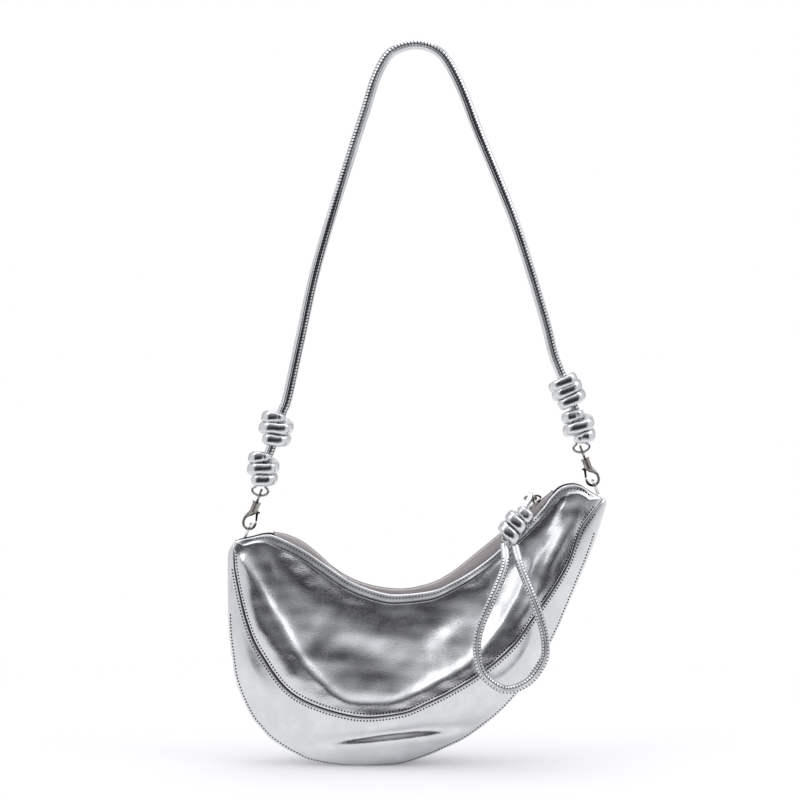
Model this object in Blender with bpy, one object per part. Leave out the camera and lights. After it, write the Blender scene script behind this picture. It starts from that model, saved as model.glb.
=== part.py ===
"""A crescent shoulder bag in foil leather: stitched panels round a lined hollow, a zip along the sloping mouth
with a wound leather pull, and a corded strap that hangs on two swivel snap hooks. Metres, +Z up, front at -Y."""

import math

import bmesh
import bpy
import numpy as np
from mathutils import Matrix, Vector

MM = 0.001

# The drawing's place for the middle of the overall box, which becomes the origin
ORIGIN = (11.47, -4.38, 0)

# Outlines of the bag in its front view, in millimetres: x to the right, z up from the table
MOUTH = [
    (-121.5, 167.0), (-110, 169.6), (-100.6, 171.8), (-92, 170.8), (-72.5, 161.5), (-55.5, 150.2),
    (-36, 137.2), (-14.8, 129.3), (0, 127.6), (24.4, 130.6), (37.7, 136.4), (51.1, 144.0),
    (64.4, 153.4), (75.5, 163.0), (92, 178.0), (105, 191.5), (111.5, 200.0), (119, 206.8), (128, 209.0),
    (134.5, 207.5), (140.5, 203.5), (149, 198.6),
]
SEAM = [
    (-123.2, 165.4), (-121.6, 142), (-113.6, 109), (-102.5, 84.5), (-78, 55), (-35, 40.5), (0, 42.5),
    (20.7, 50.5), (41.4, 61), (62, 74), (82.9, 92), (96.6, 110.5), (113.9, 135), (124.3, 153),
    (132.5, 175), (141, 187), (149.8, 197.2),
]
EDGE = [
    (-124.6, 163.4), (-127.6, 156), (-128, 133), (-127.5, 100), (-125, 78.4), (-122.8, 63.6), (-117.7, 48.8),
    (-110.3, 34), (-104.3, 26.6), (-97.7, 19.2), (-87.3, 11.8), (-77.7, 6.5), (-66, 1.2), (-35, -5), (-8, -3.5),
    (5, -0.3), (14, 3), (24, 6.8), (34.8, 11.8), (49.6, 19.2), (69.6, 34), (84.4, 48.8), (97.9, 66.2), (108.9, 83.9),
    (117.4, 100.8), (123.4, 115), (132.9, 137.6), (139.3, 152.4), (145, 167.2), (149.6, 182), (152.3, 191),
    (152.8, 195.2), (151.6, 198),
]
BASE_Z = 0.0
SEAM_HALF_DEPTH, TIP_HALF_DEPTH = 34.0, 2.2
MOUTH_HALF_WIDTH, TIP_HALF_WIDTH, MOUTH_FULLNESS = 10.0, 1.4, 0.3
SCOOP = 0.10
CRESCENT_ROUNDNESS = 0.87
CREASE = math.radians(18)
FACING_DEPTH = 6.7

# Leather, lining and the gaps between neighbours
LEATHER, TIP_LEATHER = 1.6, 0.7
LINING, LINING_GAP = 0.7, 1.6
GAP = 0.3
STATIONS = 27
PANEL_ROWS, CRESCENT_ROWS = 4, 5
LINING_INSET = 2
POCKET_STATIONS, POCKET_ROWS = (9, 17), (2, 6)

# Zip: the straight stretch that the slider travels, and the dip to its left
ZIP_SLOPE = 0.82
ZIP_STRAIGHT = [(x, 146.1 + ZIP_SLOPE * (x - 44.4)) for x in (44.4, 58, 72, 86, 100, 113)]
ZIP_DIP = [
    (-93, 171.8), (-84, 170), (-72, 164.5), (-59.5, 154.5), (-47.5, 143.8), (-29.5, 134.6), (-10.5, 130.2),
    (6, 129.8), (24.5, 134.2), (36, 140.2),
]
ZIP_ON_MOUTH = (0.095, 0.865)
ZIP_STATIONS = 26
TOOTH_PITCH = 2.4
TOOTH_HALF_HEIGHT = 0.9
TOOTH_TIP, TOOTH_ROOT, TOOTH_BACK = 0.55, -1.25, -1.75
TAPE_THICKNESS, TAPE_SHELF, TAPE_LEAD = 0.6, 5.0, 9.0
ZIP_SPREAD = 1.4

# Slider and pull
SLIDER_X = 101.0
SLIDER_LENGTH, SLIDER_WIDTH, SLIDER_PLATE = 11.0, 9.0, 1.1
CHANNEL_TAIL, CHANNEL_NOSE, CHANNEL_HALF_HEIGHT, SLOT_HALF_HEIGHT = 2.4, 3.55, 1.25, 0.75
CROWN_ALONG, CROWN_REACH, CROWN_HEIGHT, CROWN_WIRE = 3.2, 3.3, 5.2, 0.8
RING_RADIUS, RING_WIRE, RING_TILT = 4.2, 0.95, -25.0
PULL_CORD = 3.2
LINK_RADIUS, LINK_WIDTH, LINK_STRIP, LINK_REACH = 2.1, 3.2, 1.3, 13.0
PULL_KNOT_AXIS = [(91.0, -16.5, 190.0), (77.0, -21.0, 169.5)]
PULL_KNOT_RADIUS, PULL_KNOT_CORD, PULL_KNOT_TURNS, PULL_KNOT_PHASE = 5.7, 3.8, 2.7, 0.6
PULL_LOOP = [
    (77.0, -22.5, 166.0), (76.6, -31.0, 150.0), (66.5, -37.5, 126.0), (58.0, -38.8, 105.0), (56.4, -39.2, 89.0),
    (60.7, -39.6, 72.5), (77.0, -39.8, 61.2), (94.0, -39.6, 67.0), (105.0, -39.3, 82.0), (106.3, -39.0, 95.0),
    (103.5, -38.4, 110.0), (96.5, -36.5, 130.0), (88.5, -30.0, 150.0), (84.4, -22.5, 164.5),
]

# Snap hooks, measured along each hook from the wire that its corner loop holds
HOOK_PIVOT = {"left": (-113.4, 175.2), "right": (144.5, 207.6)}
HOOK_LEAN = {"left": 20.4, "right": -20.9}
EYE_HEIGHT, EYE_RADIUS, EYE_WIRE = 27.0, 4.0, 0.9
SHANK_RADIUS, HEAD_RADIUS, HEAD_HEIGHT = 1.0, 1.7, 1.2
BARREL_RADIUS, BARREL_TOP, BARREL_BOTTOM = 2.9, 21.4, 13.2
BOW_RADIUS, BOW_WIRE = 4.5, 1.05
GATE_PIN = (1.9, 14.6)
GATE_THICKNESS, PIN_RADIUS = 1.1, 0.5

# Leather loops: corner loops hold the hooks, eye loops end the strap
CORNER_SHIFT = {"left": 1.2, "right": -0.2}
CORNER_RADIUS, CORNER_WIDTH, CORNER_STRIP = 3.9, 2.0, 1.0
CORNER_ROOT = {"left": (-116.4, 168.9), "right": (147.2, 201.2)}
EYE_LOOP_RADIUS, EYE_LOOP_WIDTH, EYE_LOOP_STRIP, EYE_LOOP_DROP = 5.2, 4.0, 2.0, 0.8
EYE_LOOP_FLATNESS, EYE_LOOP_PINCH = 0.67, 0.44

# Strap: a rolled cord with two wound knots at each end
STRAP_RADIUS = 3.7
STRAP = [
    (-101.2, 218.5), (-100.2, 225.5), (-97.0, 231.5), (-94.4, 238.5), (-91.2, 251.0), (-86.8, 263.0), (-83.2, 273.0),
    (-74.0, 315.0), (-60.7, 373.0), (-37.0, 448.8),
    (-25.2, 485.1), (-18.0, 507.6), (-10.1, 522.8), (-1.5, 529.5), (10.4, 532.4), (21.5, 530.7), (31.6, 524.1),
    (40.0, 511.0), (48.1, 493.2), (57.0, 470.0), (85.1, 400.3), (105.9, 333.7), (113.0, 306.0),
    (117.2, 294.5), (121.6, 283.5), (126.0, 271.5), (129.3, 263.0), (131.4, 255.5), (132.6, 248.0),
]
# Each knot's ends, the radii of its turns and of its cord, its turns, and the share of a turn that it starts at
KNOTS = {
    "left_upper_knot": ((-89.2, 259.4), (-94.2, 240.3), 9.1, 3.7, 2.3, 0.15),
    "left_lower_knot": ((-100.2, 230.0), (-102.8, 210.0), 8.3, 3.7, 2.3, 0.15),
    "right_upper_knot": ((120.2, 287.4), (126.7, 269.0), 8.9, 3.35, 2.6, 0.95),
    "right_lower_knot": ((130.9, 261.6), (133.4, 241.6), 8.3, 3.7, 2.2, 0.15),
}
TURN_POINTS = 12

COLOURS = {
    "silver_leather": ((0.62, 0.63, 0.66), 0.30, 1.0),
    "lining": ((0.10, 0.10, 0.11), 0.85, 0.0),
    "zip_tape": ((0.40, 0.37, 0.38), 0.80, 0.0),
    "nickel": ((0.60, 0.56, 0.50), 0.20, 1.0),
}


def clear_scene():
    for thing in list(bpy.data.objects):
        bpy.data.objects.remove(thing, do_unlink=True)


def material(name):
    made = bpy.data.materials.get(name)
    if made is None:
        colour, roughness, metallic = COLOURS[name]
        made = bpy.data.materials.new(name)
        made.use_nodes = True
        shader = made.node_tree.nodes["Principled BSDF"]
        shader.inputs["Base Color"].default_value = (*colour, 1)
        shader.inputs["Roughness"].default_value = roughness
        shader.inputs["Metallic"].default_value = metallic
    return made


def add_piece(name, vertices, faces, finish, pivot=(0, 0, 0)):
    """A named object from vertices in millimetres, with its origin at the pivot and its faces pointing out."""
    pivot = np.array(pivot, float)
    mesh = bpy.data.meshes.new(name)
    mesh.from_pydata(((np.asarray(vertices, float) - pivot) * MM).tolist(), [], faces)
    shape = bmesh.new()
    shape.from_mesh(mesh)
    bmesh.ops.recalc_face_normals(shape, faces=shape.faces)
    shape.to_mesh(mesh)
    shape.free()
    piece = bpy.data.objects.new(name, mesh)
    bpy.context.scene.collection.objects.link(piece)
    piece.location = (pivot - ORIGIN) * MM
    mesh.materials.append(material(finish))
    mesh.shade_smooth()
    mesh.set_sharp_from_angle(angle=math.radians(40))
    return piece


def through(points, count, start=0.0, end=1.0):
    """Evenly spaced places along a smooth curve through the points, from start to end as shares of its length."""
    p = np.array(points, float)
    padded = np.vstack([2 * p[0] - p[1], p, 2 * p[-1] - p[-2]])
    a, b, c, d = (padded[i : len(p) - 1 + i, None, :] for i in range(4))
    t = np.linspace(0, 1, 24, endpoint=False)[None, :, None]
    dense = 0.5 * (2 * b + (c - a) * t + (2 * a - 5 * b + 4 * c - d) * t**2 + (3 * b - a - 3 * c + d) * t**3)
    dense = np.vstack([dense.reshape(-1, p.shape[1]), p[-1]])
    length = np.concatenate([[0], np.cumsum(np.linalg.norm(np.diff(dense, axis=0), axis=1))])
    at = np.linspace(start, end, count) * length[-1]
    return np.stack([np.interp(at, length, column) for column in dense.T], axis=1)


def unit(v):
    v = np.asarray(v, float)
    return v / np.linalg.norm(v, axis=-1, keepdims=True)


def ease(x):
    x = np.clip(x, 0, 1)
    return x * x * (3 - 2 * x)


# Grids: rows of points that become shells and tubes

def shell(name, outer, inner, finish):
    """A closed shell between two grids of points of the same shape, joined round their border."""
    rows, columns = outer.shape[:2]
    count = rows * columns
    index = np.arange(count).reshape(rows, columns)
    quads = np.stack([index[:-1, :-1], index[:-1, 1:], index[1:, 1:], index[1:, :-1]], axis=-1).reshape(-1, 4)
    border = np.concatenate([index[0, :-1], index[:-1, -1], index[-1, :0:-1], index[:0:-1, 0]])
    after = np.roll(border, -1)
    rim = np.stack([border, border + count, after + count, after], axis=-1)
    faces = quads.tolist() + (quads[:, ::-1] + count).tolist() + rim.tolist()
    vertices = np.concatenate([outer.reshape(-1, 3), inner.reshape(-1, 3)])
    return add_piece(name, vertices, faces, finish)


def tube_faces(rings, sides, closed=False):
    """Quads of a tube of rings, with a cap at each end unless it closes on itself."""
    index = np.arange(rings * sides).reshape(rings, sides)
    if closed:
        index = np.vstack([index, index[:1]])
    beside = np.roll(index, -1, axis=1)
    quads = np.stack([index[:-1], beside[:-1], beside[1:], index[1:]], axis=-1).reshape(-1, 4).tolist()
    caps = [] if closed else [index[0][::-1].tolist(), index[-1].tolist()]
    return quads + caps


def frames(path, up):
    """For each place on a path its two cross directions: the one nearest to up, and the one square to it."""
    along = unit(np.gradient(path, axis=0))
    side = unit(np.cross(along, np.broadcast_to(up, along.shape)))
    return np.cross(side, along), side


def swept(path, up, section):
    """Vertices of a section carried along a path. The section holds pairs (along up, along side), one set a ring
    or one for all."""
    lift, side = frames(path, up)
    section = np.broadcast_to(section, (len(path), *np.shape(section)[-2:]))
    return path[:, None] + section[..., :1] * lift[:, None] + section[..., 1:] * side[:, None]


def round_section(radius, sides):
    """Points round a circle; radius may hold one value for each ring."""
    turn = (np.arange(sides) + 0.5) * 2 * math.pi / sides
    circle = np.stack([np.cos(turn), np.sin(turn)], axis=-1)
    return np.multiply.outer(radius, circle)


def flat_section(width, thickness):
    return np.array([(-thickness, -width), (thickness, -width), (thickness, width), (-thickness, width)]) / 2


def in_front_view(points, y=0.0):
    points = np.asarray(points, float)
    return np.stack([points[:, 0], np.full(len(points), float(y)), points[:, 1]], axis=1)


def tube(name, path, radius, finish, sides=8, up=(0, 1, 0), pivot=(0, 0, 0)):
    rings = swept(np.asarray(path, float), up, round_section(radius, sides))
    return add_piece(name, rings.reshape(-1, 3), tube_faces(len(rings), sides), finish, pivot)


# Bag body

def mouth_width(u):
    """Half the width of the mouth at shares u of its length."""
    return TIP_HALF_WIDTH + (MOUTH_HALF_WIDTH - TIP_HALF_WIDTH) * np.sin(math.pi * u).clip(0) ** MOUTH_FULLNESS


def bag_surface():
    """Grid of the front skin: rows run from the mouth over the crescent seam to the outline, columns from the left
    corner to the right one. Also the row numbers of the facing's lower edge and of the seam."""
    u = np.linspace(0, 1, STATIONS)
    mouth, seam, edge = (through(line, STATIONS) for line in (MOUTH, SEAM, EDGE))
    swell = np.sin(math.pi * u) ** 0.75
    depth = TIP_HALF_DEPTH + (SEAM_HALF_DEPTH - TIP_HALF_DEPTH) * swell
    width = mouth_width(u)
    drop = np.linalg.norm(seam - mouth, axis=1)
    facing = np.minimum(FACING_DEPTH / drop, 0.35)
    rows = []
    shares = [np.zeros(STATIONS), facing]
    shares += [facing + (1 - facing) * row / PANEL_ROWS for row in range(1, PANEL_ROWS + 1)]
    for share in shares:
        place = mouth + (seam - mouth) * share[:, None]
        bulge = share - SCOOP * np.sin(2 * math.pi * share)
        rows.append(np.column_stack([place[:, 0], -(width + (depth - width) * bulge), place[:, 1]]))
    start = math.sin(CREASE)
    for row in range(1, CRESCENT_ROWS + 1):
        turn = CREASE + (0.5 * math.pi - CREASE) * row / CRESCENT_ROWS
        out = (math.sin(turn) - start) / (1 - start)
        back = (max(math.cos(turn), 0) / math.cos(CREASE)) ** CRESCENT_ROUNDNESS
        place = seam + (edge - seam) * out
        rows.append(np.column_stack([place[:, 0], -depth * back - GAP / 2, place[:, 1]]))
    grid = np.array(rows)
    grid[..., 2] = np.maximum(grid[..., 2], BASE_Z)
    return grid, 1, 1 + PANEL_ROWS


def outward(grid):
    """Unit normals of the front skin, level at the outline, where the back skin mirrors it."""
    down, across = np.gradient(grid, axis=0), np.gradient(grid, axis=1)
    normal = unit(np.cross(down, across))
    normal *= np.where(normal[len(grid) // 2, STATIONS // 2, 1] > 0, -1, 1)
    normal[-1, :, 1] = 0
    flat = grid[..., 2] <= BASE_Z + 0.01
    normal[flat] = (0, 0, -1)
    return unit(normal)


def drawn_in(grid, row, toward):
    """The grid with one border row moved half a gap towards its neighbour row."""
    moved = grid.copy()
    moved[row] += unit(grid[toward] - grid[row]) * GAP / 2
    return moved


def mirrored(grid):
    return grid * (1, -1, 1)


def add_skins(grid, normal, facing_row, seam_row):
    """Facing, panel and crescent of each side, cut from one skin so that their edges meet."""
    u = np.linspace(0, 1, STATIONS)
    thickness = TIP_LEATHER + (LEATHER - TIP_LEATHER) * ease(np.minimum(u, 1 - u) / 0.08)
    inner = grid - normal * thickness[None, :, None]
    cuts = {"facing": (0, facing_row), "panel": (facing_row, seam_row), "crescent": (seam_row, len(grid) - 1)}
    for name, (first, last) in cuts.items():
        walls = []
        for wall in (grid, inner):
            part = wall[first : last + 1]
            part = drawn_in(part, 0, 1) if first else part
            part = drawn_in(part, -1, -2) if last < len(grid) - 1 else part
            walls.append(part)
        shell(f"front_{name}", *walls, "silver_leather")
        shell(f"back_{name}", *map(mirrored, walls), "silver_leather")


def add_lining(grid, normal):
    """One lining bag half a side, inside the leather, and the slip pocket on the back half."""
    inside = slice(LINING_INSET, STATIONS - LINING_INSET)
    outer = (grid - normal * (LEATHER + LINING_GAP))[:, inside]
    inner = (grid - normal * (LEATHER + LINING_GAP + LINING))[:, inside]
    outer[0], inner[0] = (wall[0] + unit(wall[1] - wall[0]) * 2.4 for wall in (outer, inner))
    shell("front_lining", outer, inner, "lining")
    shell("back_lining", mirrored(outer), mirrored(inner), "lining")
    rows, columns = (slice(*span) for span in (POCKET_ROWS, POCKET_STATIONS))
    depth = LEATHER + LINING + 2 * LINING_GAP
    pocket_outer = (grid - normal * depth)[rows, columns]
    pocket_inner = (grid - normal * (depth + LINING))[rows, columns]
    shell("back_slip_pocket", mirrored(pocket_outer), mirrored(pocket_inner), "lining")


# Zip

def zip_line(count, start=0.0, end=1.0):
    return in_front_view(through(ZIP_DIP + ZIP_STRAIGHT, count, start, end))


def zip_directions(line):
    """Unit vectors along the zip and up from its tape."""
    along = unit(np.gradient(line, axis=0))
    return along, np.stack([-along[:, 2], np.zeros(len(line)), along[:, 0]], axis=1)


def spread(line):
    """How far each half stands off the centre: nothing where the teeth are closed, ZIP_SPREAD past the slider."""
    return ZIP_SPREAD * ease((line[:, 0] - SLIDER_X + 1.5) / 3.0)


def add_tapes():
    line = zip_line(ZIP_STATIONS)
    _, up = zip_directions(line)
    mouth = in_front_view(through(MOUTH, ZIP_STATIONS, *ZIP_ON_MOUTH))
    across = np.array([0, -1, 0])
    gap = spread(line + (TAPE_LEAD, 0, 0))[:, None] * across
    top = line + (GAP - TOOTH_BACK) * across + gap
    shelf = line + TAPE_SHELF * across + gap * 0.5
    foot = mouth + (TAPE_SHELF + 0.25) * across - up * 1.2
    surface = np.array([top, shelf, foot])
    half, beside = TAPE_THICKNESS / 2 * up, TAPE_THICKNESS / 2 * across
    lean = np.array([half, half + beside, beside + np.zeros_like(up)])
    shell("front_zip_tape", surface + lean, surface - lean, "zip_tape")
    shell("back_zip_tape", mirrored(surface + lean), mirrored(surface - lean), "zip_tape")


def add_teeth():
    """Each row is a bead whose inner edge steps in and out at half the tooth pitch; the two rows interlock."""
    length = np.linalg.norm(np.diff(zip_line(400), axis=0), axis=1).sum()
    count = 2 * int(length * 0.975 / TOOTH_PITCH) + 1
    line = zip_line(count, 0.012, 0.988)
    _, up = zip_directions(line)
    step = np.arange(count) % 2
    reach = {"front": np.where(step, TOOTH_TIP, TOOTH_ROOT), "back": np.where(step, TOOTH_ROOT, TOOTH_TIP)}
    for name, side in (("front", -1), ("back", 1)):
        edge = -side * (reach[name] - 0.1)
        back = side * np.full(count, -TOOTH_BACK)
        shift = side * spread(line)
        corners = []
        for height, y in ((1, edge), (1, back), (-1, back), (-1, edge)):
            corner = line + up * height * TOOTH_HALF_HEIGHT
            corner[:, 1] += y + shift
            corners.append(corner)
        rings = np.stack(corners, axis=1)
        add_piece(f"{name}_zip_teeth", rings.reshape(-1, 3), tube_faces(count, 4), "nickel")


def box_corners(half, centre=(0, 0, 0), axes=np.eye(3)):
    """Eight corners of a box with half sizes along three axes."""
    signs = np.array([(x, y, z) for x in (-1, 1) for y in (-1, 1) for z in (-1, 1)])
    return np.asarray(centre) + (signs * half) @ np.asarray(axes)


BOX_FACES = [(0, 1, 3, 2), (4, 6, 7, 5), (0, 4, 5, 1), (2, 3, 7, 6), (0, 2, 6, 4), (1, 5, 7, 3)]


def slider_axes():
    along = unit((1.0, 0.0, ZIP_SLOPE))
    return np.array([along, (0, 1, 0), (-along[2], 0, along[0])])


def slider_centre():
    return np.array([SLIDER_X, 0, ZIP_STRAIGHT[0][1] + ZIP_SLOPE * (SLIDER_X - ZIP_STRAIGHT[0][0])])


def add_stops():
    """Metal stops: one across both rows at the closed end, one on each row at the open end."""
    ends = zip_line(60)
    along, up = zip_directions(ends)
    start = np.array([along[0], (0, 1, 0), up[0]])
    add_piece("closed_end_stop", box_corners((0.9, 1.7, 1.3), ends[0] - along[0] * 0.2, start), BOX_FACES, "nickel")
    finish = np.array([along[-1], (0, 1, 0), up[-1]])
    for name, side in (("front", -1), ("back", 1)):
        place = ends[-1] + along[-1] * 0.1 + np.array([0, side * (ZIP_SPREAD + 0.9), 0])
        add_piece(f"{name}_open_end_stop", box_corners((0.8, 0.9, 1.3), place, finish), BOX_FACES, "nickel")


def helper(name, vertices, faces):
    """A hidden shape that a Boolean reads."""
    made = add_piece(name, vertices, faces, "nickel")
    made.hide_render = True
    made.display_type = "WIRE"
    return made


def combine(piece, other, operation):
    step = piece.modifiers.new(other.name, "BOOLEAN")
    step.object = other
    step.operation = operation
    step.solver = "EXACT"


def prism(outline, half_height, centre, axes):
    """An outline in the first two axes, raised along the third by half_height each way. Vertices and faces."""
    count = len(outline)
    flat = np.array([(a, b, h) for h in (-half_height, half_height) for a, b in outline])
    sides = [(i, (i + 1) % count, (i + 1) % count + count, i + count) for i in range(count)]
    return np.asarray(centre) + flat @ np.asarray(axes), sides + [tuple(range(count))[::-1], tuple(range(count, 2 * count))]


def add_slider():
    """Two shaped plates with rims round a channel, joined by the wedge at the nose, and the crown above."""
    axes, centre = slider_axes(), slider_centre()
    half, wide = SLIDER_LENGTH / 2, SLIDER_WIDTH / 2
    outline = [(-half, -wide * 0.72), (-half * 0.2, -wide * 0.8), (half * 0.45, -wide), (half * 0.85, -wide * 0.86)]
    outline += [(half, -wide * 0.45)]
    outline += [(a, -b) for a, b in reversed(outline)]
    thick = CHANNEL_HALF_HEIGHT + SLIDER_PLATE
    body = add_piece("zip_slider", *prism(outline, thick, centre, axes), "nickel", centre)
    long = SLIDER_LENGTH
    flare = [(-long, -CHANNEL_TAIL), (-half * 0.3, -CHANNEL_TAIL), (half * 0.35, -CHANNEL_NOSE), (long, -CHANNEL_NOSE)]
    flare += [(a, -b) for a, b in reversed(flare)]
    combine(body, helper("slider_channel", *prism(flare, CHANNEL_HALF_HEIGHT, centre, axes)), "DIFFERENCE")
    slot = box_corners((long, SLIDER_WIDTH, SLOT_HALF_HEIGHT), centre, axes)
    combine(body, helper("slider_slot", slot, BOX_FACES), "DIFFERENCE")
    wedge = [(half * 0.5, 0), (half * 0.72, -0.5), (half * 0.97, -0.4), (half * 0.97, 0.4), (half * 0.72, 0.5)]
    combine(body, helper("slider_wedge", *prism(wedge, thick - 0.4, centre, axes)), "UNION")
    turn = np.linspace(0, math.pi, 9)[:, None]
    arch = centre + axes[0] * (CROWN_ALONG - CROWN_REACH * np.cos(turn))
    arch = arch + axes[2] * (thick - 0.5 + (CROWN_HEIGHT - 0.8) * np.sin(turn))
    rings = swept(arch, (0, 1, 0), round_section(CROWN_WIRE, 6))
    combine(body, helper("slider_crown", rings.reshape(-1, 3), tube_faces(9, 6)), "UNION")


def crown_hole():
    """Centre of the space under the crown, where the pull ring passes."""
    axes = slider_axes()
    return slider_centre() + axes[0] * CROWN_ALONG + axes[2] * (CHANNEL_HALF_HEIGHT + SLIDER_PLATE + 1.75)


def ring_frame():
    """Centre of the pull ring, and the directions in its plane: left, and back over the zip."""
    tilt = math.radians(RING_TILT)
    return crown_hole() + np.array([-RING_RADIUS, 0, 0]), np.array([-1.0, 0, 0]), np.array([0, math.cos(tilt), math.sin(tilt)])


def add_pull_ring():
    centre, left, back = ring_frame()
    turn = np.arange(20)[:, None] * 2 * math.pi / 20
    ring = centre + RING_RADIUS * (left * np.cos(turn) + back * np.sin(turn))
    out = unit(ring - centre)[:, None]
    normal = np.cross(left, back)
    section = round_section(RING_WIRE, 8)
    tube_points = ring[:, None] + section[None, :, :1] * out + section[None, :, 1:] * normal
    add_piece("pull_ring", tube_points.reshape(-1, 3), tube_faces(20, 8, closed=True), "nickel", crown_hole())


def strip_loop(name, top, down, across, radius, reach, width, thickness, pivot, pinch=0.5, close=0.7, flat=1.0,
               drift=(0, 0, 0)):
    """A strip bent over a wire: half a turn about the place top, then two legs along down that draw together over
    the share close of their length, and move over by drift. across is the direction from leg to leg."""
    top, down, across = np.asarray(top, float), unit(down), unit(across)
    turn = np.linspace(0, math.pi, 9)[:, None]
    middle = radius + thickness / 2
    bend = top + middle * (across * np.cos(turn) - down * flat * np.sin(turn))
    leg = np.linspace(0, 1, 4)[1:, None]
    narrow = middle * (1 - (1 - pinch) * ease(leg / close))
    fall = top + down * reach * leg + np.array(drift) * ease(leg)
    right, left = (fall + side * across * narrow for side in (1, -1))
    path = np.vstack([right[::-1], bend, left])
    tunnel = np.cross(down, across)
    rings = swept(path, tunnel, flat_section(width, thickness)[:, ::-1])
    return add_piece(name, rings.reshape(-1, 3), tube_faces(len(rings), 4), "silver_leather", pivot)


def least_gap(path, diameter):
    """Smallest space between two stretches of a tube that lie more than two diameters apart along it."""
    length = np.concatenate([[0], np.cumsum(np.linalg.norm(np.diff(path, axis=0), axis=1))])
    apart = np.linalg.norm(path[:, None] - path[None], axis=-1)
    far = np.abs(length[:, None] - length[None]) > 2 * diameter
    return apart[far].min() - diameter


def add_wound_knot(name, top, bottom, radius, cord, turns, pivot, phase, hand=1):
    """A cord wound as a helix round the line from top to bottom, both ends running on straight for a diameter.
    hand is the way it winds."""
    top, bottom = np.asarray(top, float), np.asarray(bottom, float)
    axis = unit(bottom - top)
    across = unit(np.cross(axis, (0, 1, 0)))
    back = np.cross(axis, across)
    count = int(round(turns * TURN_POINTS)) + 1
    turn = (np.linspace(0, turns, count) + phase) * 2 * math.pi * hand
    rise = np.linspace(0, 1, count)[:, None]
    helix = top + (bottom - top) * rise + radius * (across * np.cos(turn)[:, None] + back * np.sin(turn)[:, None])
    first, last = unit(helix[0] - helix[1]), unit(helix[-1] - helix[-2])
    path = np.vstack([helix[0] + first * 2 * cord, helix, helix[-1] + last * 2 * cord])
    dense = through(path, 400)
    print(f"{name}: least gap between turns {least_gap(dense, 2 * cord):.2f} mm")
    radial = np.vstack([helix[0] - top, helix - (top + (bottom - top) * rise), helix[-1] - bottom])
    along = unit(np.gradient(path, axis=0))
    out = unit(radial - (radial * along).sum(axis=1, keepdims=True) * along)
    side = np.cross(along, out)
    section = round_section(cord, 6)
    rings = path[:, None] + section[None, :, :1] * out[:, None] + section[None, :, 1:] * side[:, None]
    add_piece(name, rings.reshape(-1, 3), tube_faces(len(rings), 6), "silver_leather", pivot)


def add_pull():
    centre, left, back = ring_frame()
    hook_place = centre - RING_RADIUS * back
    knot_top = np.array(PULL_KNOT_AXIS[0])
    down = knot_top - hook_place
    drift = np.array([down[0], 0, 0]) * 0.8
    down[0] = 0
    across = np.cross(unit(down), (1, 0, 0))
    strip_loop(
        "pull_link", hook_place, down, across, LINK_RADIUS, LINK_REACH, LINK_WIDTH, LINK_STRIP, hook_place,
        drift=drift,
    )
    add_wound_knot(
        "pull_knot", *PULL_KNOT_AXIS, PULL_KNOT_RADIUS, PULL_KNOT_CORD, PULL_KNOT_TURNS, hook_place,
        PULL_KNOT_PHASE, hand=-1,
    )
    tube("pull_loop", through(PULL_LOOP, 44), PULL_CORD, "silver_leather", 8, (0, 1, 0), hook_place)


# Hooks and strap

def hook_axes(side):
    """Directions of a hook: across towards the bag's middle, along Y, and up from the bow to the eye."""
    lean = math.radians(HOOK_LEAN[side])
    up = np.array([math.sin(lean), 0, math.cos(lean)])
    inner = 1 if side == "left" else -1
    return np.array([np.array([up[2], 0, -up[0]]) * inner, (0, 1, 0), up])


def hook_place(side, across, up, y=0.0):
    x, z = HOOK_PIVOT[side]
    return np.array([x, 0, z]) + np.array([across, y, up]) @ hook_axes(side)


def lathe(profile, origin, axes, sides=12):
    """Vertices and faces of a turned solid. The profile holds pairs (radius, height) and ends on the axis."""
    turn = np.arange(sides) * 2 * math.pi / sides
    rings = [
        np.stack([r * np.cos(turn), r * np.sin(turn), np.full(sides, float(h))], axis=1) for r, h in profile[1:-1]
    ]
    points = np.vstack([[(0, 0, profile[0][1])], *rings, [(0, 0, profile[-1][1])]])
    last = len(points) - 1
    faces = [(0, 1 + (i + 1) % sides, 1 + i) for i in range(sides)]
    for ring in range(len(rings) - 1):
        a, b = 1 + ring * sides, 1 + (ring + 1) * sides
        faces += [(a + i, a + (i + 1) % sides, b + (i + 1) % sides, b + i) for i in range(sides)]
    a = 1 + (len(rings) - 1) * sides
    faces += [(a + i, a + (i + 1) % sides, last) for i in range(sides)]
    return np.asarray(origin) + points @ np.asarray(axes), faces


def add_hook_eye(side):
    """A ring on a short shank, whose head is held inside the barrel."""
    axes = hook_axes(side)
    centre = hook_place(side, 0, EYE_HEIGHT)
    turn = np.arange(18)[:, None] * 2 * math.pi / 18
    ring = centre + EYE_RADIUS * (axes[1] * np.cos(turn) + axes[2] * np.sin(turn))
    out = unit(ring - centre)[:, None]
    section = round_section(EYE_WIRE, 8)
    points = ring[:, None] + section[None, :, :1] * out + section[None, :, 1:] * axes[0]
    eye = add_piece(f"{side}_hook_eye", points.reshape(-1, 3), tube_faces(18, 8, closed=True), "nickel")
    head = BARREL_TOP - 2.6
    neck = EYE_HEIGHT - EYE_RADIUS + 0.2
    profile = [(0, head), (HEAD_RADIUS, head), (HEAD_RADIUS, head + HEAD_HEIGHT), (SHANK_RADIUS, head + HEAD_HEIGHT)]
    profile += [(SHANK_RADIUS, neck), (0, neck)]
    combine(eye, helper(f"{side}_shank", *lathe(profile, hook_place(side, 0, 0), axes, 10)), "UNION")


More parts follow.
